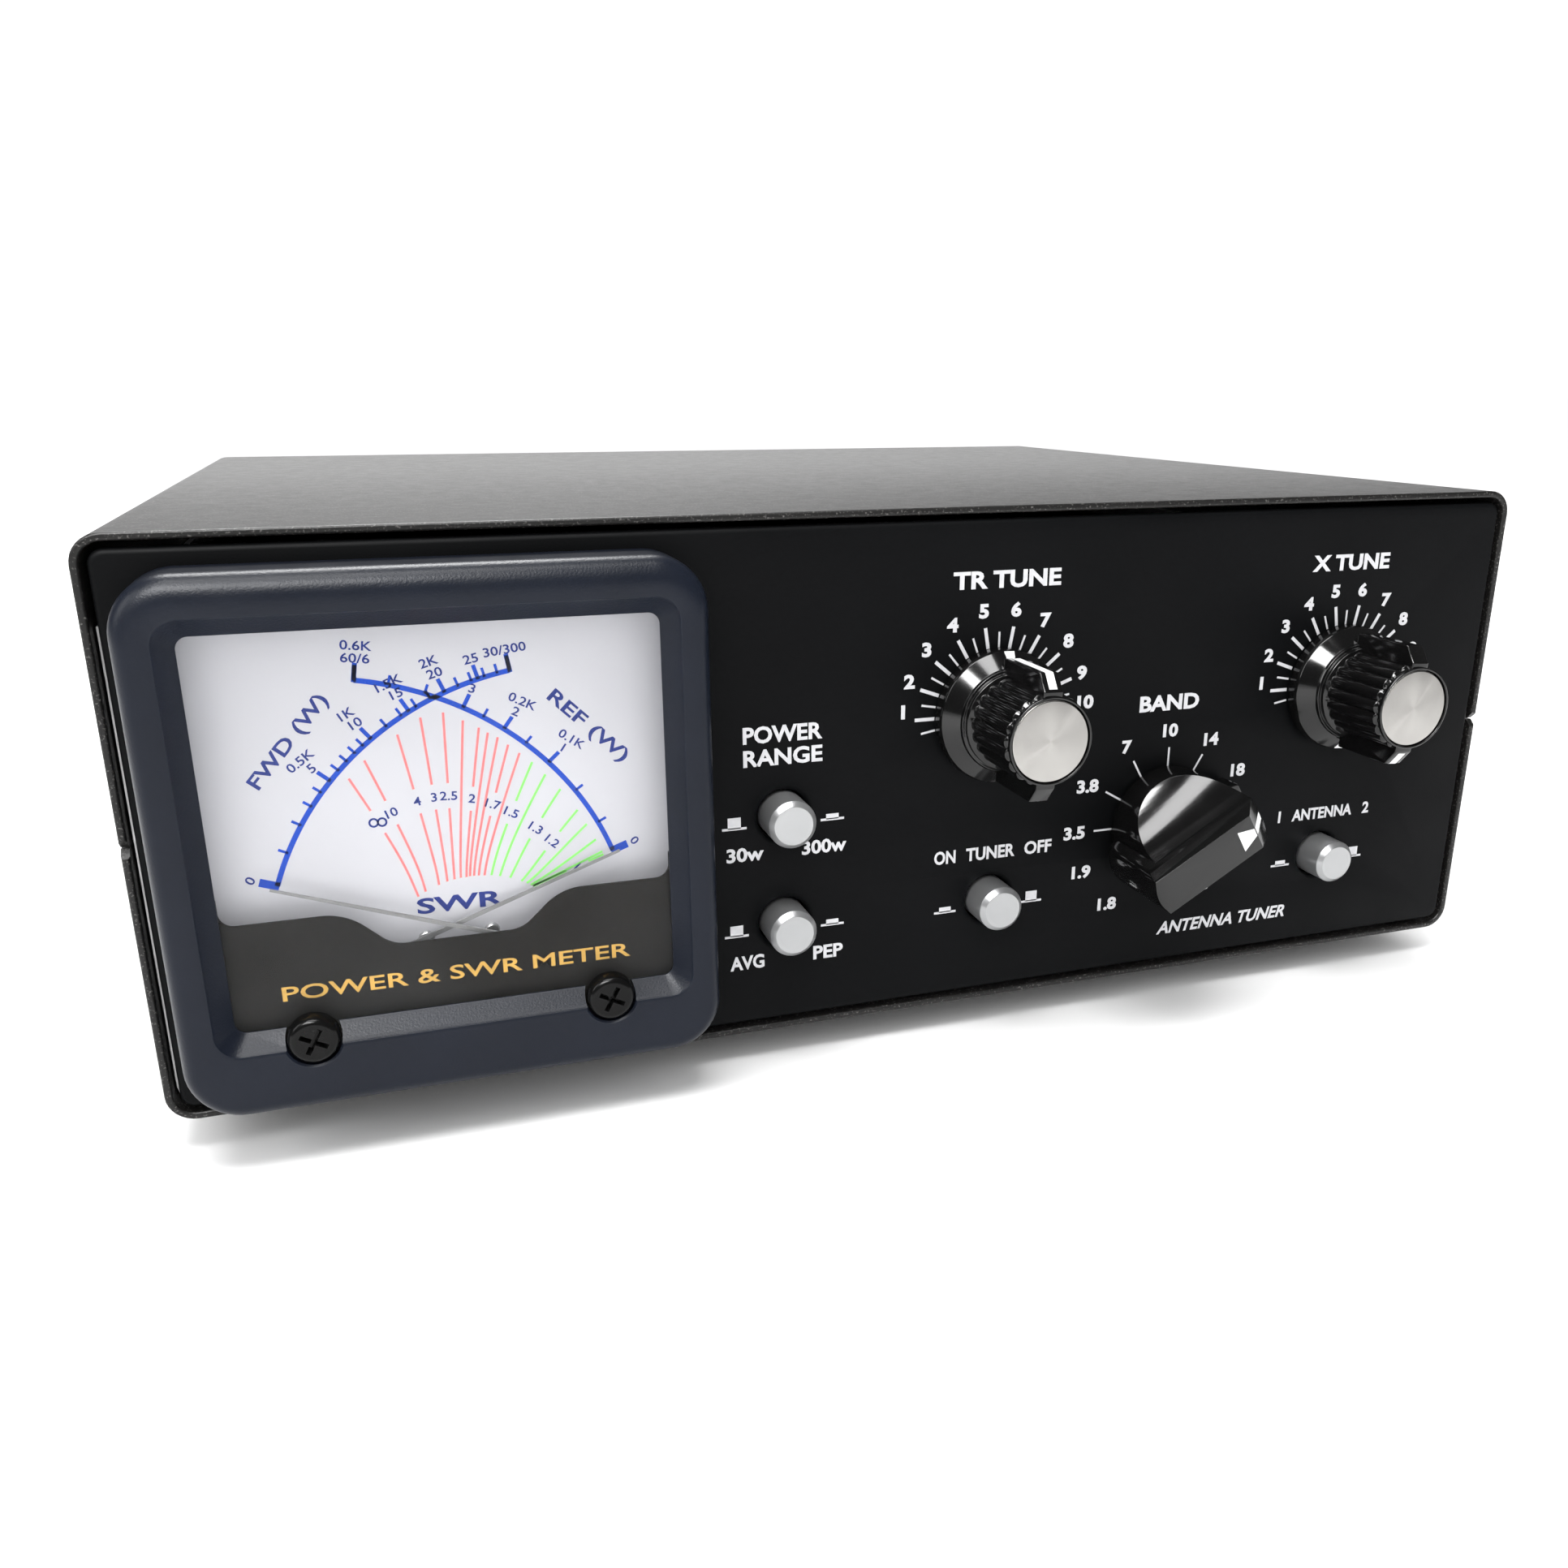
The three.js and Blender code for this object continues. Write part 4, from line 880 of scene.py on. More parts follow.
def make_bezel():
    x = (BEZEL_LOW.x + BEZEL_HIGH.x) / 2

    def outer(y, inset=0.0, top=None):
        top = inset if top is None else top
        low, high = BEZEL_LOW.z + inset, BEZEL_HIGH.z - top
        width = BEZEL_HIGH.x - BEZEL_LOW.x - 2 * inset
        corner = BEZEL_CORNER - inset
        return at_depth(rounded_rect(x, (low + high) / 2, width, high - low, corner, 12), y)

    def inner(y, grow, corner):
        return at_depth(rounded_rect(METER.x, OPENING["z"], OPENING["width"] + 2 * grow,
                                     OPENING["height"] + 2 * grow, corner, 12), y)

    rings = [outer(0.0, 0.35), outer(-0.5, 0.0)]
    for i in range(ROLL["steps"] + 1):
        turn = math.pi / 2 * i / ROLL["steps"]
        share = 1 - math.cos(turn)
        rings.append(outer(-LIP + ROLL["depth"] * (1 - math.sin(turn)), ROLL["side"] * share,
                           ROLL["top"] * share))
    flare = OPENING["flare"]
    rings += [inner(-LIP, flare + 0.5, 4.0), inner(-LIP + 0.12, flare + 0.15, 3.8),
              inner(-LIP + 0.5, flare - 0.1, 3.5), inner(WINDOW_LOW.y - 0.35, 0.15, 2.0),
              inner(WINDOW_LOW.y - 0.2, 0, 1.8), inner(WINDOW_LOW.y, 0, 1.8)]
    rebate_x, rebate_z = (WINDOW_LOW.x + WINDOW_HIGH.x) / 2, (WINDOW_LOW.z + WINDOW_HIGH.z) / 2
    rebate = rounded_rect(rebate_x, rebate_z, WINDOW_HIGH.x - WINDOW_LOW.x + 0.8,
                          WINDOW_HIGH.z - WINDOW_LOW.z + 0.8, 0.5, 12)
    rings += [at_depth(rebate, WINDOW_LOW.y), at_depth(rebate, 0)]
    radius, floor = ADJUSTER_RECESS["radius"], ADJUSTER_RECESS["floor"]
    profile = [(0, -LIP - 1), (radius + 0.6, -LIP - 1), (radius + 0.3, -LIP - 0.05),
               (radius, -LIP + 0.3), (radius, floor), (0, floor)]
    recesses = [turned(profile, centre.x, centre.z, 48) for centre in ADJUSTERS]
    piece("meter_bezel_frame", worked(loft(rings, closed=True), recesses), "bezel_plastic",
          stands_for="meter_bezel")


def make_adjusters():
    for name, centre in zip(("forward", "reflected"), ADJUSTERS):
        node = name + "_zero_adjuster"
        _, _, radius, front, end = round_node(node)
        back, stem = ADJUSTER_CAP["back"], ADJUSTER_CAP["stem"]
        profile = filleted([(0, front), (radius, front, 1.1), (radius, back, 0.1), (stem, back),
                            (stem, end), (0, end)], 6, closed=False)
        spin = Matrix.Rotation(ADJUSTER_CAP["turn"], 4, "Y")
        place = Matrix.Translation((centre.x, 0, centre.z)) @ spin
        cap = worked(turned(profile, steps=64), cross_recess(2.5, 0.9, front - 0.5, front + 1.3))
        piece(node + "_cap", moved(cap, place), "black_plastic", body=name + "_adjuster",
              stands_for=node)


MASK = {"shoulder": 34.2, "dip": 28.2, "dip_half": 8.6, "slope_half": 17.5, "side": 33.75,
        "side_top": 38.5, "front": -6.45, "screw_hole": 1.7}


def make_mask():
    half = (WINDOW_HIGH.x - WINDOW_LOW.x) / 2
    right = [(half, WINDOW_LOW.z), (half, MASK["side_top"]), (MASK["side"], MASK["side_top"]),
             (MASK["side"], MASK["shoulder"], 2.4), (MASK["slope_half"] - 1.2, MASK["shoulder"], 9),
             (MASK["dip_half"] + 1.2, MASK["dip"], 5)]
    corners = [(METER.x + c[0], *c[1:]) for c in right]
    corners += [(METER.x - c[0], *c[1:]) for c in reversed(right)]
    holes = [circle(c.x, c.z, MASK["screw_hole"], 24) for c in ADJUSTERS]
    back = span("meter_mask")[1].y
    piece("meter_mask_sheet", plate([filleted(corners, 10), *holes], MASK["front"], back),
          "mask_print", stands_for="meter_mask")
    line = letters("POWER & SWR METER", METER.x + 0.1, 22.3, 2.35, MASK["front"], 53.3,
                   weight=0.012)
    piece("mask_lettering", line, "gold_print")


# The needles share one scale law: the swing grows with a power of the measured share.
FULL_SWING = 61.1
ZERO_ANGLE = 70.5
SWING_POWER = 0.56
FOOT_SHARE = 0.025
FORWARD_FULL = 30.0
REFLECTED_FULL = 6.0
DIAL_RADIUS = 47.2
SWR_HUB = (METER.x + 3.2, 20)
SWR_START = 16.4


def swing(share):
    """The angle of a needle from straight up, at a share of full power."""
    foot = 1 - math.exp(-share / FOOT_SHARE) if share > 0 else 0
    return ZERO_ANGLE - FULL_SWING * foot * share ** SWING_POWER


def needle_ray(name, share, radius):
    """A point of a needle's ray: the forward needle leans left and the reflected one right."""
    way = -1 if name == "forward" else 1
    pivot = PIVOTS[name]
    return arc(pivot.x, pivot.z, radius, way * swing(share), way * swing(share), 1)[0]


def crossing(forward_share, reflected_share):
    """Where the two needles cross."""
    a = math.radians(swing(forward_share))
    b = math.radians(swing(reflected_share))
    left, right = PIVOTS["reflected"], PIVOTS["forward"]
    height = (right.x - left.x) / (math.tan(a) + math.tan(b))
    return left.x + height * math.tan(b), left.z + height


def radius_from(name, point):
    return math.hypot(point[0] - PIVOTS[name].x, point[1] - PIVOTS[name].z)


def swr_line(ratio):
    """The crossings that share one standing-wave ratio, as far as the arcs of the dial."""
    rho = 1.0 if math.isinf(ratio) else (ratio - 1) / (ratio + 1)
    gain = rho * rho * FORWARD_FULL / REFLECTED_FULL
    points = []
    for i in range(1, 801):
        share = (i / 400) ** 2
        if gain * share > 1:
            break
        point = crossing(share, gain * share)
        reach = max(radius_from(name, point) for name in PIVOTS)
        if math.dist(point, SWR_HUB) > SWR_START and reach < DIAL_RADIUS - 1.6:
            points.append(point)
    return points


RED_RATIOS = [math.inf, 10, 4, 3, 2.5, 2.2, 2, 1.9, 1.8, 1.7, 1.6]
GREEN_RATIOS = [1.5, 1.4, 1.3, 1.2, 1.15, 1.1, 1.05, 1]
LABELLED_RATIOS = [math.inf, 10, 4, 3, 2.5, 2, 1.7, 1.5, 1.3, 1.2, 1]
RATIO_ARCH = {"x": METER.x - 0.5, "z": 50.0, "drop": 0.034}
RATIO_GAP = 1.9
INFINITY = {"apart": 0.62, "radius": 0.62, "line": 0.3, "below": 0.1}
SMALL_CAPITAL = 1.4


def label_place(ratio):
    """The SWR numbers stand on one shallow arch across their lines."""
    line = swr_line(ratio)
    arch = RATIO_ARCH
    return min(line, key=lambda p: abs(arch["z"] - arch["drop"] * (p[0] - arch["x"]) ** 2 - p[1]))


def interrupted(path, centres, gap):
    """The parts of a path that stay clear of some points."""
    parts, run = [], []
    for point in path:
        clear = all(math.dist(point, centre) > gap for centre in centres)
        if clear:
            run.append(point)
        if not clear and run:
            parts.append(run)
            run = []
    return [part for part in [*parts, run] if len(part) > 1]


FORWARD_LABELS = {0: ("0", ""), 5: ("5", "0.5K"), 10: ("10", "1K"), 15: ("15", "1.5K"),
                  20: ("20", "2K"), 25: ("25", ""), 30: ("30/300", "")}
REFLECTED_LABELS = {0: ("0", ""), 1: ("1", "0.1K"), 2: ("2", "0.2K"), 3: ("3", ""),
                    6: ("60/6", "0.6K")}
FORWARD_MARKS = [1, 2, 3, 4, 5, 6, 7, 8, 9, 10, 12, 14, 15, 16, 18, 20, 22, 24, 25, 26, 28, 30]
REFLECTED_MARKS = [0.2, 0.5, 1, 1.5, 2, 2.5, 3, 4, 5, 6]
# Lengths and widths of the dial's marks, and how far outside the arc its numbers stand.
LONG_MARK, SHORT_MARK = (2.3, 0.62), (1.5, 0.42)
ARC_LINE = 0.8
ROW_LIFTS = (3.3, 5.2)
ZERO_LIFT = 0.6
NUMBER_TILT = 0.75
DIAL_SCREW = {"side": 5.1, "z": 26.9, "shift": 0.3}


def dial_scale(name, full, marks, labels):
    """A blue arc with its marks, and the numbers along its outside."""
    way = -1 if name == "forward" else 1
    pivot = PIVOTS[name]
    sweep = arc(pivot.x, pivot.z, DIAL_RADIUS, way * ZERO_ANGLE, way * swing(1), 60)
    lines = [printed(sweep, ARC_LINE, DIAL_Y)]
    for value in marks:
        length, width = LONG_MARK if value in labels else SHORT_MARK
        path = [needle_ray(name, value / full, DIAL_RADIUS + r) for r in (0, length)]
        lines.append(printed(path, width, DIAL_Y))
    for share, width in ((0, 1.3), (1, 0.7)):
        path = [needle_ray(name, share, DIAL_RADIUS + r) for r in (-0.3, 2.6)]
        lines.append(printed(path, width, DIAL_Y))
    numbers = []
    for value, rows in labels.items():
        tilt = way * swing(value / full) * NUMBER_TILT
        extra = ZERO_LIFT if value == 0 else 0
        for text, lift in zip(rows, ROW_LIFTS):
            if text:
                x, z = needle_ray(name, value / full, DIAL_RADIUS + lift + extra)
                numbers.append(letters(text, x, z, SMALL_CAPITAL, DIAL_Y, angle=tilt,
                                       weight=0.014, stretch=1.2))
    return lines, numbers


def make_dial():
    coat("meter_scale_plate", "dial_print")
    forward, forward_numbers = dial_scale("forward", FORWARD_FULL, FORWARD_MARKS, FORWARD_LABELS)
    reflected, reflected_numbers = dial_scale("reflected", REFLECTED_FULL, REFLECTED_MARKS,
                                              REFLECTED_LABELS)
    titles = [letters("FWD (W)", METER.x - 21.4, 60.6, 2.2, DIAL_Y, 17, angle=-49, weight=0.02),
              letters("REF (W)", METER.x + 22.9, 59.4, 2.2, DIAL_Y, 16, angle=45, weight=0.02),
              letters("SWR", METER.x + 0.9, 32.3, 2.6, DIAL_Y, 13.3, weight=0.025)]
    places = {ratio: label_place(ratio) for ratio in LABELLED_RATIOS}
    for ratio, (x, z) in places.items():
        if math.isinf(ratio):
            for side in (-1, 1):
                titles.append(printed_ring(x + side * INFINITY["apart"], z - INFINITY["below"],
                                           INFINITY["radius"], INFINITY["line"], DIAL_Y))
            continue
        lean = max(-38, min(48, (x - METER.x) * 2.6 + 2))
        titles.append(letters(f"{ratio:g}", x, z, SMALL_CAPITAL, DIAL_Y, angle=lean,
                              weight=0.014, stretch=1.15))
    piece("dial_arcs_print", combined(*forward, *reflected), "blue_print")
    piece("dial_words_print", combined(*forward_numbers, *reflected_numbers, *titles),
          "navy_print")
    for colour, ratios in (("red", RED_RATIOS), ("green", GREEN_RATIOS)):
        lines = []
        for ratio in ratios:
            near = [places[ratio]] if ratio in places else []
            for part in interrupted(swr_line(ratio), near, RATIO_GAP):
                lines.append(printed(part[::4] + part[-1:], 0.36, DIAL_Y))
        piece(f"dial_{colour}_print", combined(*lines), f"{colour}_print")
    screws = []
    for side in (-1, 1):
        x = METER.x + DIAL_SCREW["shift"] + side * DIAL_SCREW["side"]
        profile = filleted([(0, -0.55), (1.0, -0.5, 0.3), (1.25, 0, 0), (0, 0, 0)], 4, closed=False)
        head = [(r, DIAL_Y + y) for r, y in profile]
        screws.append(turned(head, x, DIAL_SCREW["z"], 32))
    piece("dial_screws", combined(*screws), "plated_steel")


# ---- Tuning knobs ----
KNOB = {"gap": 0.6, "height": 20.8, "skirt": 12, "edge": 3, "neck": 9.3, "neck_height": 5.3,
        "step": 8.6, "step_height": 6.6, "body": 7.8, "flute": 0.55, "flutes": 20, "rim": 7.5,
        "recess": 7.1, "recess_depth": 1.1, "bore": 3.2, "bore_end": 14}
RIDGE = {"width": 3.5, "root": 6.6, "reach": 11, "start": 5.0, "shoulder": 18, "top": 20.2,
         "top_reach": 8.2}


def knob_core():
    """The skirt, the neck, the fluted grip and the rim round the cap, with the shaft bore."""
    k = KNOB
    top, grip = k["height"], k["body"] + 0.1
    profile = [(0, -(top - k["recess_depth"])), (k["recess"], -(top - k["recess_depth"]), 0.1),
               (k["recess"], -top, 0.12), (k["rim"], -top, 0.15), (k["rim"], -top + 0.7, 0.1),
               (k["rim"] - 0.3, -top + 0.8), (k["rim"] - 0.2, -top + 1.1), (grip, -top + 1.5, 0.2),
               (grip, -k["step_height"] - 0.2, 0.1), (k["step"], -k["step_height"], 0.2),
               (k["step"], -(k["neck_height"] + 0.5), 0.1),
               (k["neck"] - 0.2, -(k["neck_height"] + 0.5), 0.15),
               (k["neck"], -k["neck_height"], 0.15), (k["skirt"] - 0.2, -k["edge"], 0.5),
               (k["skirt"], -k["edge"] + 0.6, 0.2), (k["skirt"], -k["gap"], 0.2),
               (k["bore"], -k["gap"]), (k["bore"], -k["bore_end"]), (0, -k["bore_end"])]
    steps = k["flutes"] * 8
    corners, faces = turned(filleted(profile, 4, closed=False), steps=steps)
    start, end = -top + 1.3, -k["step_height"] - 0.15
    fluted = []
    for corner in corners:
        x, y, z = corner
        if start < y < end and math.hypot(x, z) > k["recess"]:
            wave = abs(math.cos(k["flutes"] / 2 * math.atan2(x, z))) ** 0.7
            share = 1 - k["flute"] * (1 - wave) / k["body"]
            corner = (x * share, y, z * share)
        fluted.append(corner)
    return fluted, faces


def knob_ridge(turn):
    side = [(RIDGE["root"], RIDGE["start"], 0.1), (RIDGE["reach"], RIDGE["start"], 0.3),
            (RIDGE["reach"], RIDGE["shoulder"], 0.5), (RIDGE["top_reach"], RIDGE["top"], 0.4),
            (RIDGE["root"], RIDGE["top"], 0.1)]
    shape = plate([filleted(side, 4)], -RIDGE["width"] / 2, RIDGE["width"] / 2, 0.28)
    upright = Matrix(((0, 1, 0, 0), (0, 0, -1, 0), (1, 0, 0, 0), (0, 0, 0, 1)))
    return moved(shape, placed(0, 0, 0, turn) @ upright)


def knob_mark():
    """A white line along the pointer ridge and over its front slope, with a wedge on the skirt."""
    half, depth = 0.72, 0.12
    path = [(11.05, 6.1), (11.05, 17.76), (10.99, 18.0), (10.84, 18.19), (8.62, 19.93)]
    rings = [[(-half, -y, r), (half, -y, r), (half, -y + depth, r - depth),
              (-half, -y + depth, r - depth)] for r, y in path]
    lift = 0.05
    wedge = [[(-w, -y, r0 + lift), (w, -y, r0 + lift), (w, -y, r0 - depth), (-w, -y, r0 - depth)]
             for w, y, r0 in ((0.95, 3.3, 11.72), (0.6, 4.9, 9.86))]
    return combined(loft(rings), loft(wedge))


def make_tuning_knobs():
    for tuner in TUNERS:
        axis = AXES[tuner + "_tune_turn"]
        body = tuner + "_tune"
        place = placed(axis.x, 0, axis.z, POINTERS[body])
        grip = worked(knob_core(), [knob_ridge(0), knob_ridge(180)], "UNION")
        piece(body + "_knob_grip", moved(grip, place), "knob_plastic", body=body,
              stands_for=body + "_knob")
        piece(body + "_knob_mark", moved(knob_mark(), place), "pointer_white", body=body)
        _, _, radius, front, back = round_node(body + "_knob_cap")
        profile = filleted([(0, front), (radius, front, 0.3), (radius, back, 0.1), (0, back)], 4,
                           closed=False)
        spun = spun_finish(body + "_spun", (axis.x, front, axis.z))
        piece(body + "_knob_disc", turned(profile, axis.x, axis.z, 120), "spun_aluminium",
              body=body, stands_for=body + "_knob_cap", material=spun)


POINTERS = {"transmitter_tune": 2, "antenna_tune": 184, "band": 60}


# ---- Band knob ----
BAND_KNOB = {"radius": 11.6, "height": 19.6, "bar_half": 4.1, "base": 3.2, "scoop": 17, "gap": 0.6,
             "bevel": 0.42, "bevel_height": 2.2, "bore": 3.2, "bore_end": 11.6, "steps": 24}
BAND_NOSE = {"root": 6, "reach": 14.6, "half": 1.1, "height": 5.7, "slope_start": 7.6,
             "slope_drop": 5}
BAND_TAIL = {"root": 8, "shoulder": 13.1, "reach": 14.4, "half": 4.6}


def band_section():
    """Half of the bar's outline across: a bevelled top, a hollow side and the round base."""
    k = BAND_KNOB
    centre = k["base"] + k["scoop"]
    low = k["height"] - k["bevel_height"]
    start, end = math.asin((centre - low) / k["scoop"]), math.radians(62)
    side = [(k["bar_half"] - k["bevel"], k["height"])]
    for i in range(k["steps"] + 1):
        turn = start + (end - start) * i / k["steps"]
        side.append((k["bar_half"] + k["scoop"] * (1 - math.cos(turn)),
                     centre - k["scoop"] * math.sin(turn)))
    far = k["radius"] + 4
    return side + [(far, side[-1][1]), (far, k["gap"])]


def make_band_knob():
    k, nose, tail = BAND_KNOB, BAND_NOSE, BAND_TAIL
    place = placed(BAND.x, 0, BAND.z, POINTERS["band"])
    side = band_section()
    reach = k["radius"] + 6
    bar = loft([[(x, -h, z) for x, h in side + [(-x, h) for x, h in reversed(side)]]
                for z in (-reach, reach)])
    drum = turned([(0, -k["height"]), (k["radius"], -k["height"]), (k["radius"], -k["gap"]),
                   (k["bore"], -k["gap"]), (k["bore"], -k["bore_end"]), (0, -k["bore_end"])],
                  steps=144)
    end = filleted([(tail["half"], -tail["root"]), (-tail["half"], -tail["root"]),
                    (-tail["half"], -tail["shoulder"], 1.5), (0, -tail["reach"] - 0.3, 9),
                    (tail["half"], -tail["shoulder"], 1.5)], 6)
    lobe = loft([at_depth(end, -k["height"]), at_depth(end, -k["base"])])
    limit = k["radius"] + 1
    slope = [(nose["slope_start"], k["height"] + 1), (nose["slope_start"], k["height"]),
             (limit, k["height"] - nose["slope_drop"]), (limit, k["height"] + 1)]
    wedge = loft([[(x, -h, z) for z, h in slope] for x in (-reach, reach)])
    body = worked(worked(drum, [lobe], "UNION"), [bar], "INTERSECT")
    grip = rounded(worked(body, [wedge]), 0.3)
    pointer = plate([filleted([(-k["bar_half"], nose["root"]), (k["bar_half"], nose["root"]),
                               (nose["half"], nose["reach"], 0.5),
                               (-nose["half"], nose["reach"], 0.5)], 5)],
                    -nose["height"], -k["gap"], 0.25)
    piece("band_knob_grip", moved(worked(grip, [pointer], "UNION"), place), "knob_plastic",
          body="band_selector", stands_for="band_knob")
    piece("band_knob_mark", moved(band_mark(), place), "pointer_white", body="band_selector")


def band_mark():
    """A white triangle on the nose's slope, whose tip runs on as a line to the end."""
    k, nose = BAND_KNOB, BAND_NOSE
    fall = nose["slope_drop"] / (k["radius"] + 1 - nose["slope_start"])
    start = nose["slope_start"] + 0.3

    def height(z):
        return k["height"] - max(0, z - nose["slope_start"]) * fall

    rings = []
    for half, z in ((2.1, 4.2), (0.8, 7.4), (0.75, start), (0.75, k["radius"] - 0.5)):
        h = height(z) + 0.04
        rings.append([(-half, -h, z), (half, -h, z), (half, -h + 0.12, z), (-half, -h + 0.12, z)])
    return loft(rings)


# ---- Push buttons ----
BUTTON = {"chamfer": 0.85, "dish": 0.05, "stem": 2, "back": 4}


def make_buttons():
    for button in BUTTONS:
        x, z, radius, front, end = round_node(button + "_button")
        chamfer, dish = BUTTON["chamfer"], BUTTON["dish"]
        face, stem, back = radius - chamfer, BUTTON["stem"], BUTTON["back"]
        profile = filleted([(0, front + dish), (face - 0.6, front + dish, 0.6), (face, front, 0.2),
                            (radius, front + chamfer, 0.3), (radius, back, 0.2), (stem, back, 0),
                            (stem, end, 0), (0, end)], 5, closed=False)
        piece(button + "_cap", turned(profile, x, z, 80), "button_silver", body=button,
              stands_for=button + "_button")


# ---- Rear panel ----
REAR_FACE = span("rear_panel")[1].y
JACKS = ["transmitter_jack", "antenna_1_jack", "antenna_2_jack"]
REAR_HOLES = {"jack": 6.4, "dc": 5.9, "post": 2.7}
REAR_SCREW_INSET = 8
JACK_LABEL_Z = 63.5
JACK = {"bore": 6.0, "inner": 5.9, "outer": 7.9, "flange": 1.8, "corner": 2.2, "pitch": 1.05,
        "thread": 0.5, "screws": 9.1, "contact": 2.4, "contact_bore": 1.9, "resin": 5.7,
        "resin_face": 207}
DC_JACK = {"outer": 5.6, "bore": 3.2, "flange": 7.5, "flange_depth": 2, "floor": 195, "pin": 1.05,
           "pin_depth": 2.2}
POST = {"radius": 2.4, "head": 4.6, "head_back": 201.3, "pitch": 0.8, "thread": 0.35}
NUT = {"ribs": 44, "bore": 2.7, "knurl": 0.3}


def make_rear_panel():
    loops = [panel_outline("rear_panel")]
    for jack in JACKS:
        loops.append(circle(middle(jack).x, middle(jack).z, REAR_HOLES["jack"]))
    dc, post = middle("dc_power_jack"), middle("ground_post")
    loops += [circle(dc.x, dc.z, REAR_HOLES["dc"]), circle(post.x, post.z, REAR_HOLES["post"])]
    low, high = span("rear_panel")
    piece("rear_panel_plate", plate(loops, low.y, high.y, 0.4), "panel_paint",
          stands_for="rear_panel")
    profile = filleted([(0, 1.3), (1.6, 1.2, 0.3), (2.6, 0.1, 0.1), (2.6, 0, 0), (0, 0)], 4,
                       closed=False)
    screw = worked(turned(profile, steps=40), cross_recess(1.5, 0.6, 2.0, 0.6))
    inset = REAR_SCREW_INSET
    places = [Matrix.Translation((side * (high.x - inset), REAR_FACE, z))
              for side in (-1, 1) for z in (low.z + inset, high.z - inset)]
    piece("rear_panel_screws", combined(*[moved(screw, place) for place in places]), "black_screw")
    words = [(text, middle(jack).x, JACK_LABEL_Z)
             for text, jack in zip(("TX", "ANT 1", "ANT 2"), JACKS)]
    words += [("DC 12V", dc.x, 58.5), ("GND", post.x + 1, 36)]
    face_back = Matrix.Rotation(math.radians(180), 4, "Z")
    shapes = [moved(letters(text, -x, z, 3.2, -REAR_FACE, weight=0.03), face_back)
              for text, x, z in words]
    piece("rear_labels_print", combined(*shapes), "lettering")


def threaded(radius, y0, y1, pitch, depth):
    """Profile points of a thread's crests and roots between two depths."""
    points = []
    count = int((y1 - y0) / pitch)
    for i in range(count):
        y = y0 + i * pitch
        points += [(radius - depth, y + pitch * 0.1), (radius, y + pitch * 0.4),
                   (radius, y + pitch * 0.6), (radius - depth, y + pitch * 0.9)]
    return points


def make_jacks():
    for jack in JACKS:
        x, z, half, _, end = round_node(jack)
        flange_back = REAR_FACE + JACK["flange"]
        outer, inner, bore = JACK["outer"], JACK["inner"], JACK["bore"]
        outline = rounded_rect(x, z, 2 * half, 2 * half, JACK["corner"])
        flange = plate([outline, circle(x, z, bore)], REAR_FACE, flange_back, 0.3)
        start = flange_back - 0.2
        profile = [(bore, start), (outer + 0.5, start), (outer + 0.5, start + 1.2),
                   (outer - 0.4, start + 1.6)]
        profile += threaded(outer, start + 2, end - 1, JACK["pitch"], JACK["thread"])
        profile += [(outer - 0.6, end - 0.6), (outer - 0.9, end), (inner, end), (inner, start)]
        barrel = turned(profile, x, z, 96, closed=True)
        piece(jack + "_shell", worked(flange, [barrel], "UNION"), "nickel_plate", stands_for=jack)
        head = filleted([(0, flange_back + 1.1), (1.3, flange_back + 1.0, 0.3),
                         (2.3, flange_back + 0.1, 0.1), (2.3, flange_back), (0, flange_back)], 4,
                        closed=False)
        heads = [turned(head, x + sx * JACK["screws"], z + sz * JACK["screws"], 32)
                 for sx in (-1, 1) for sz in (-1, 1)]
        piece(jack + "_screws", combined(*heads), "plated_steel")

        _, _, _, front, end = round_node(jack + "_insert")
        contact, hollow, resin = JACK["contact"], JACK["contact_bore"], JACK["resin"]
        face = JACK["resin_face"]
        profile = filleted([(0, front), (resin, front, 0.1), (resin, face, 0.3), (contact, face),
                            (contact, end - 0.4), (contact - 0.2, end), (hollow, end),
                            (hollow, face + 0.6), (0, face + 0.6)], 3, closed=False)
        piece(jack + "_dielectric", turned(profile, x, z, 64), "socket_resin",
              stands_for=jack + "_insert")
        sleeve = [(hollow + 0.05, face + 0.1), (contact + 0.05, face + 0.1),
                  (contact + 0.05, end - 0.1), (hollow + 0.05, end - 0.1)]
        piece(jack + "_contact", turned(sleeve, x, z, 48, closed=True), "brass_nut")


def make_dc_jack():
    x, z, _, front, end = round_node("dc_power_jack")
    outer, bore, flange, pin = (DC_JACK[key] for key in ("outer", "bore", "flange", "pin"))
    back, floor = REAR_FACE + DC_JACK["flange_depth"], DC_JACK["floor"]
    tip = end - DC_JACK["pin_depth"]
    profile = filleted([(0, front), (outer, front, 0.2), (outer, REAR_FACE, 0),
                        (flange, REAR_FACE, 0.1), (flange, back, 0.4), (outer, back, 0.1),
                        (outer, end, 0.3), (bore, end, 0.3), (bore, floor, 0), (pin, floor, 0),
                        (pin, tip, 0.3), (0, tip, 0)], 4, closed=False)
    piece("dc_power_socket", turned(profile, x, z, 80), "black_plastic", stands_for="dc_power_jack")


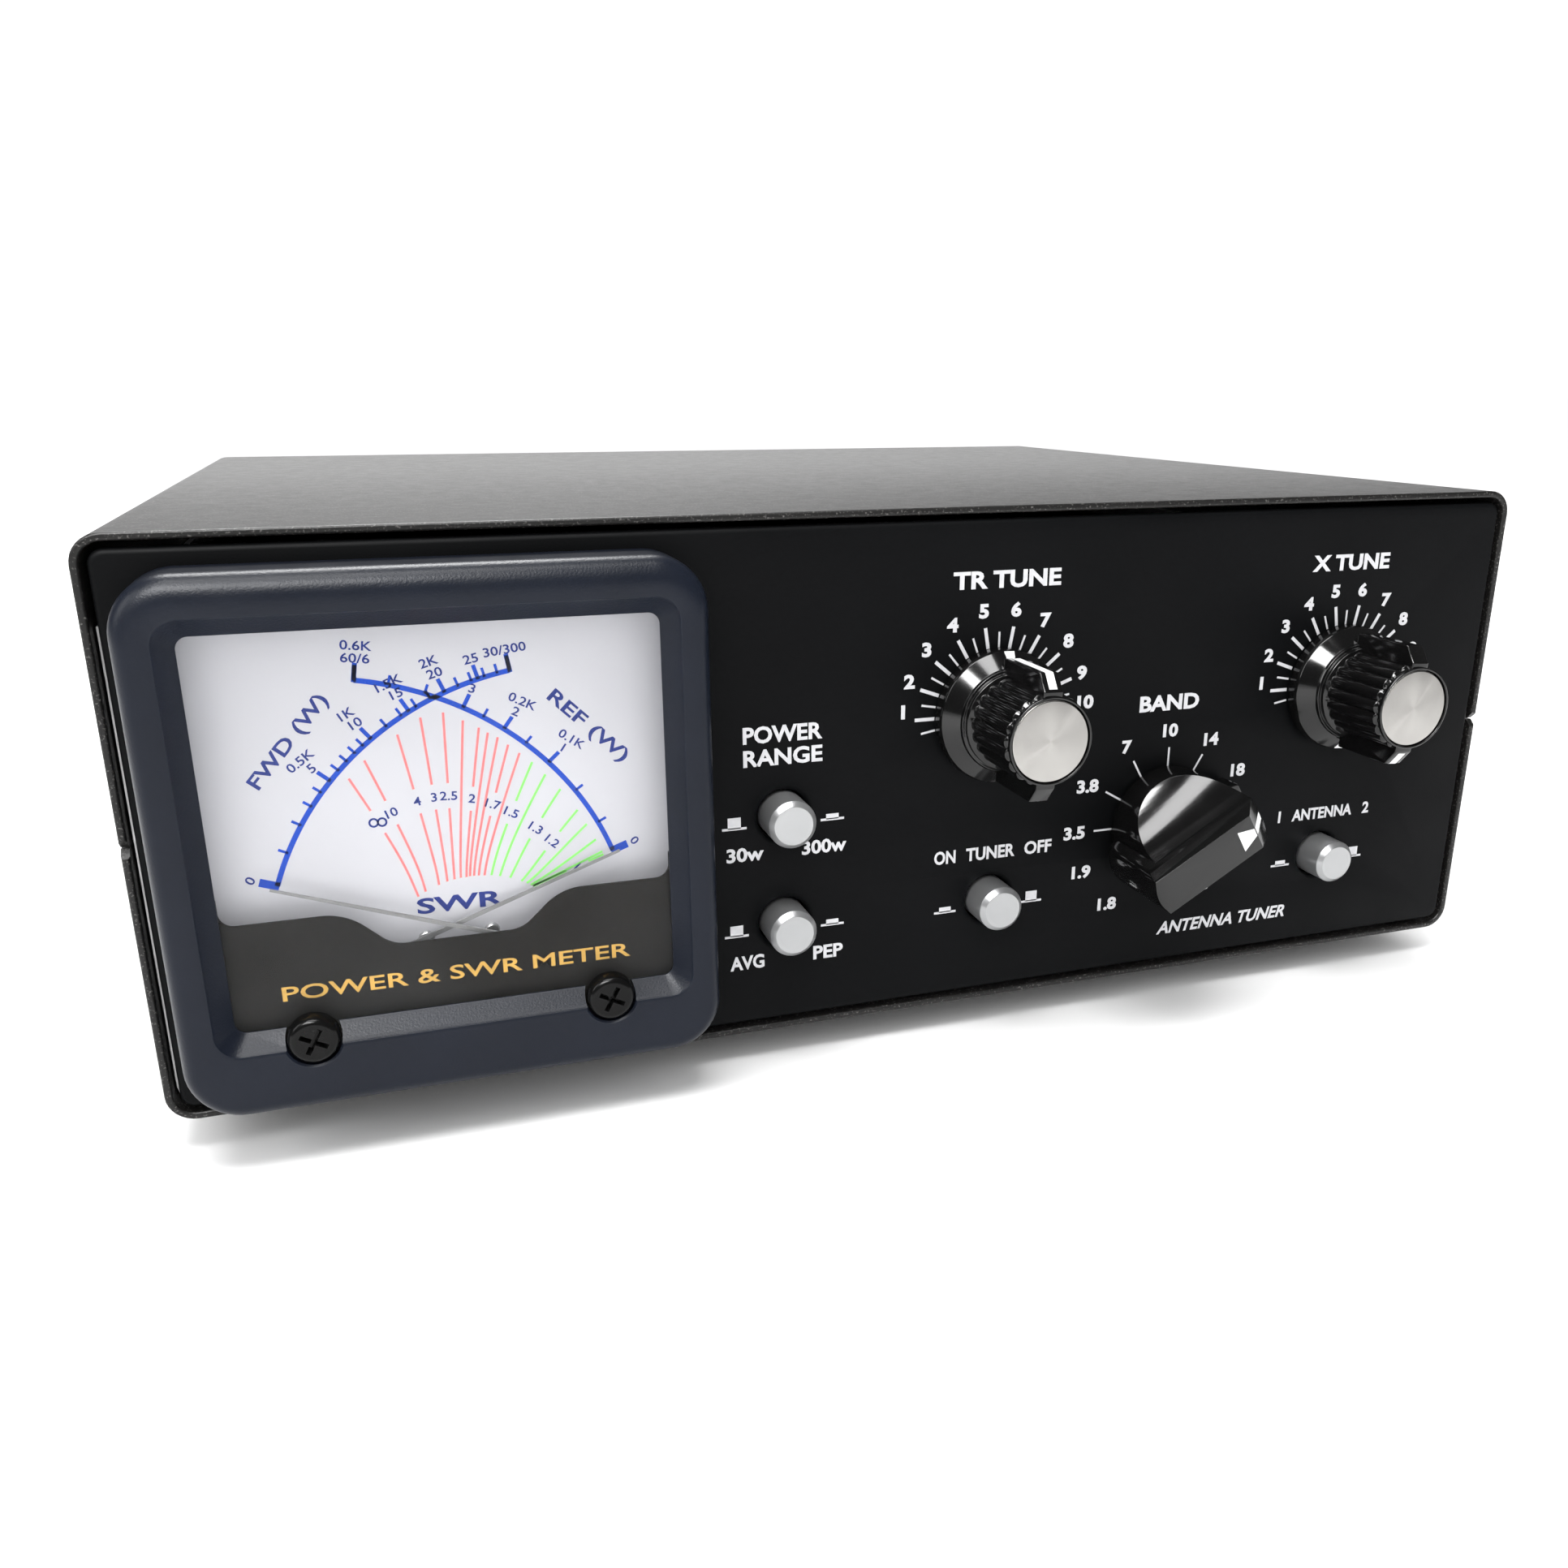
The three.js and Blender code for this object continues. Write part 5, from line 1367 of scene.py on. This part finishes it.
def make_ground_post():
    x, z, _, front, end = round_node("ground_post")
    radius, head, shoulder = POST["radius"], POST["head"], POST["head_back"]
    profile = [(0, front), (head, front), (head, shoulder), (radius, shoulder)]
    profile += threaded(radius, REAR_FACE + 0.2, end - 1.4, POST["pitch"], POST["thread"])
    profile += [(radius - 0.5, end - 0.4), (radius - 0.9, end), (0, end)]
    piece("ground_post_thread", turned(profile, x, z, 64), "plated_steel",
          stands_for="ground_post")
    _, _, radius, front, end = round_node("ground_thumb_nut")
    steps = NUT["ribs"] * 4
    rings = []
    for y, inset, knurl in ((front, 2.2, 0), (front + 2.0, 2.0, 0), (front + 2.6, 0.5, 1),
                            (front + 3.0, 0, 1), (end - 0.7, 0, 1), (end - 0.2, 0.5, 1),
                            (end, 0.9, 0)):
        ring = []
        for i in range(steps):
            turn = 2 * math.pi * i / steps
            r = radius - inset - (NUT["knurl"] * (i % 4 < 2) * knurl)
            ring.append((x + r * math.sin(turn), y, z + r * math.cos(turn)))
        rings.append(ring)
    hole = circle(x, z, NUT["bore"], steps)
    rings += [at_depth(hole, end), at_depth(hole, front)]
    piece("ground_knurled_nut", loft(rings, closed=True), "brass_nut", body="thumb_nut",
          stands_for="ground_thumb_nut", sharp=40)


def coat_inside():
    """CAD nodes that keep their own shape."""
    plain = {"chassis": "sheet_metal", "meter_window": "clear_acrylic",
             "meter_case": "black_plastic", "meter_lamp": "clear_acrylic",
             "meter_movement": "plated_steel", "forward_needle": "needle_black",
             "reflected_needle": "needle_black",
             "band_switch_rotor": "plated_steel", "band_switch_wafers": "phenolic",
             "main_coil": "copper_wire", "coil_saddle": "phenolic", "coupler_board": "circuit_board",
             "coupler_toroid": "copper_wire"}
    for tuner in TUNERS:
        for part in ("rotor", "stator", "frame"):
            plain[f"{tuner}_capacitor_{part}"] = "capacitor_metal"
    for button in BUTTONS:
        plain[button + "_switch"] = "black_plastic"
    for node, finish in plain.items():
        coat(node, finish)


make_covers()
make_cover_screws()
make_feet()
make_front_panel()
make_panel_printing()
make_bezel()
make_adjusters()
make_mask()
make_dial()
make_tuning_knobs()
make_band_knob()
make_buttons()
make_rear_panel()
make_jacks()
make_dc_jack()
make_ground_post()
coat_inside()
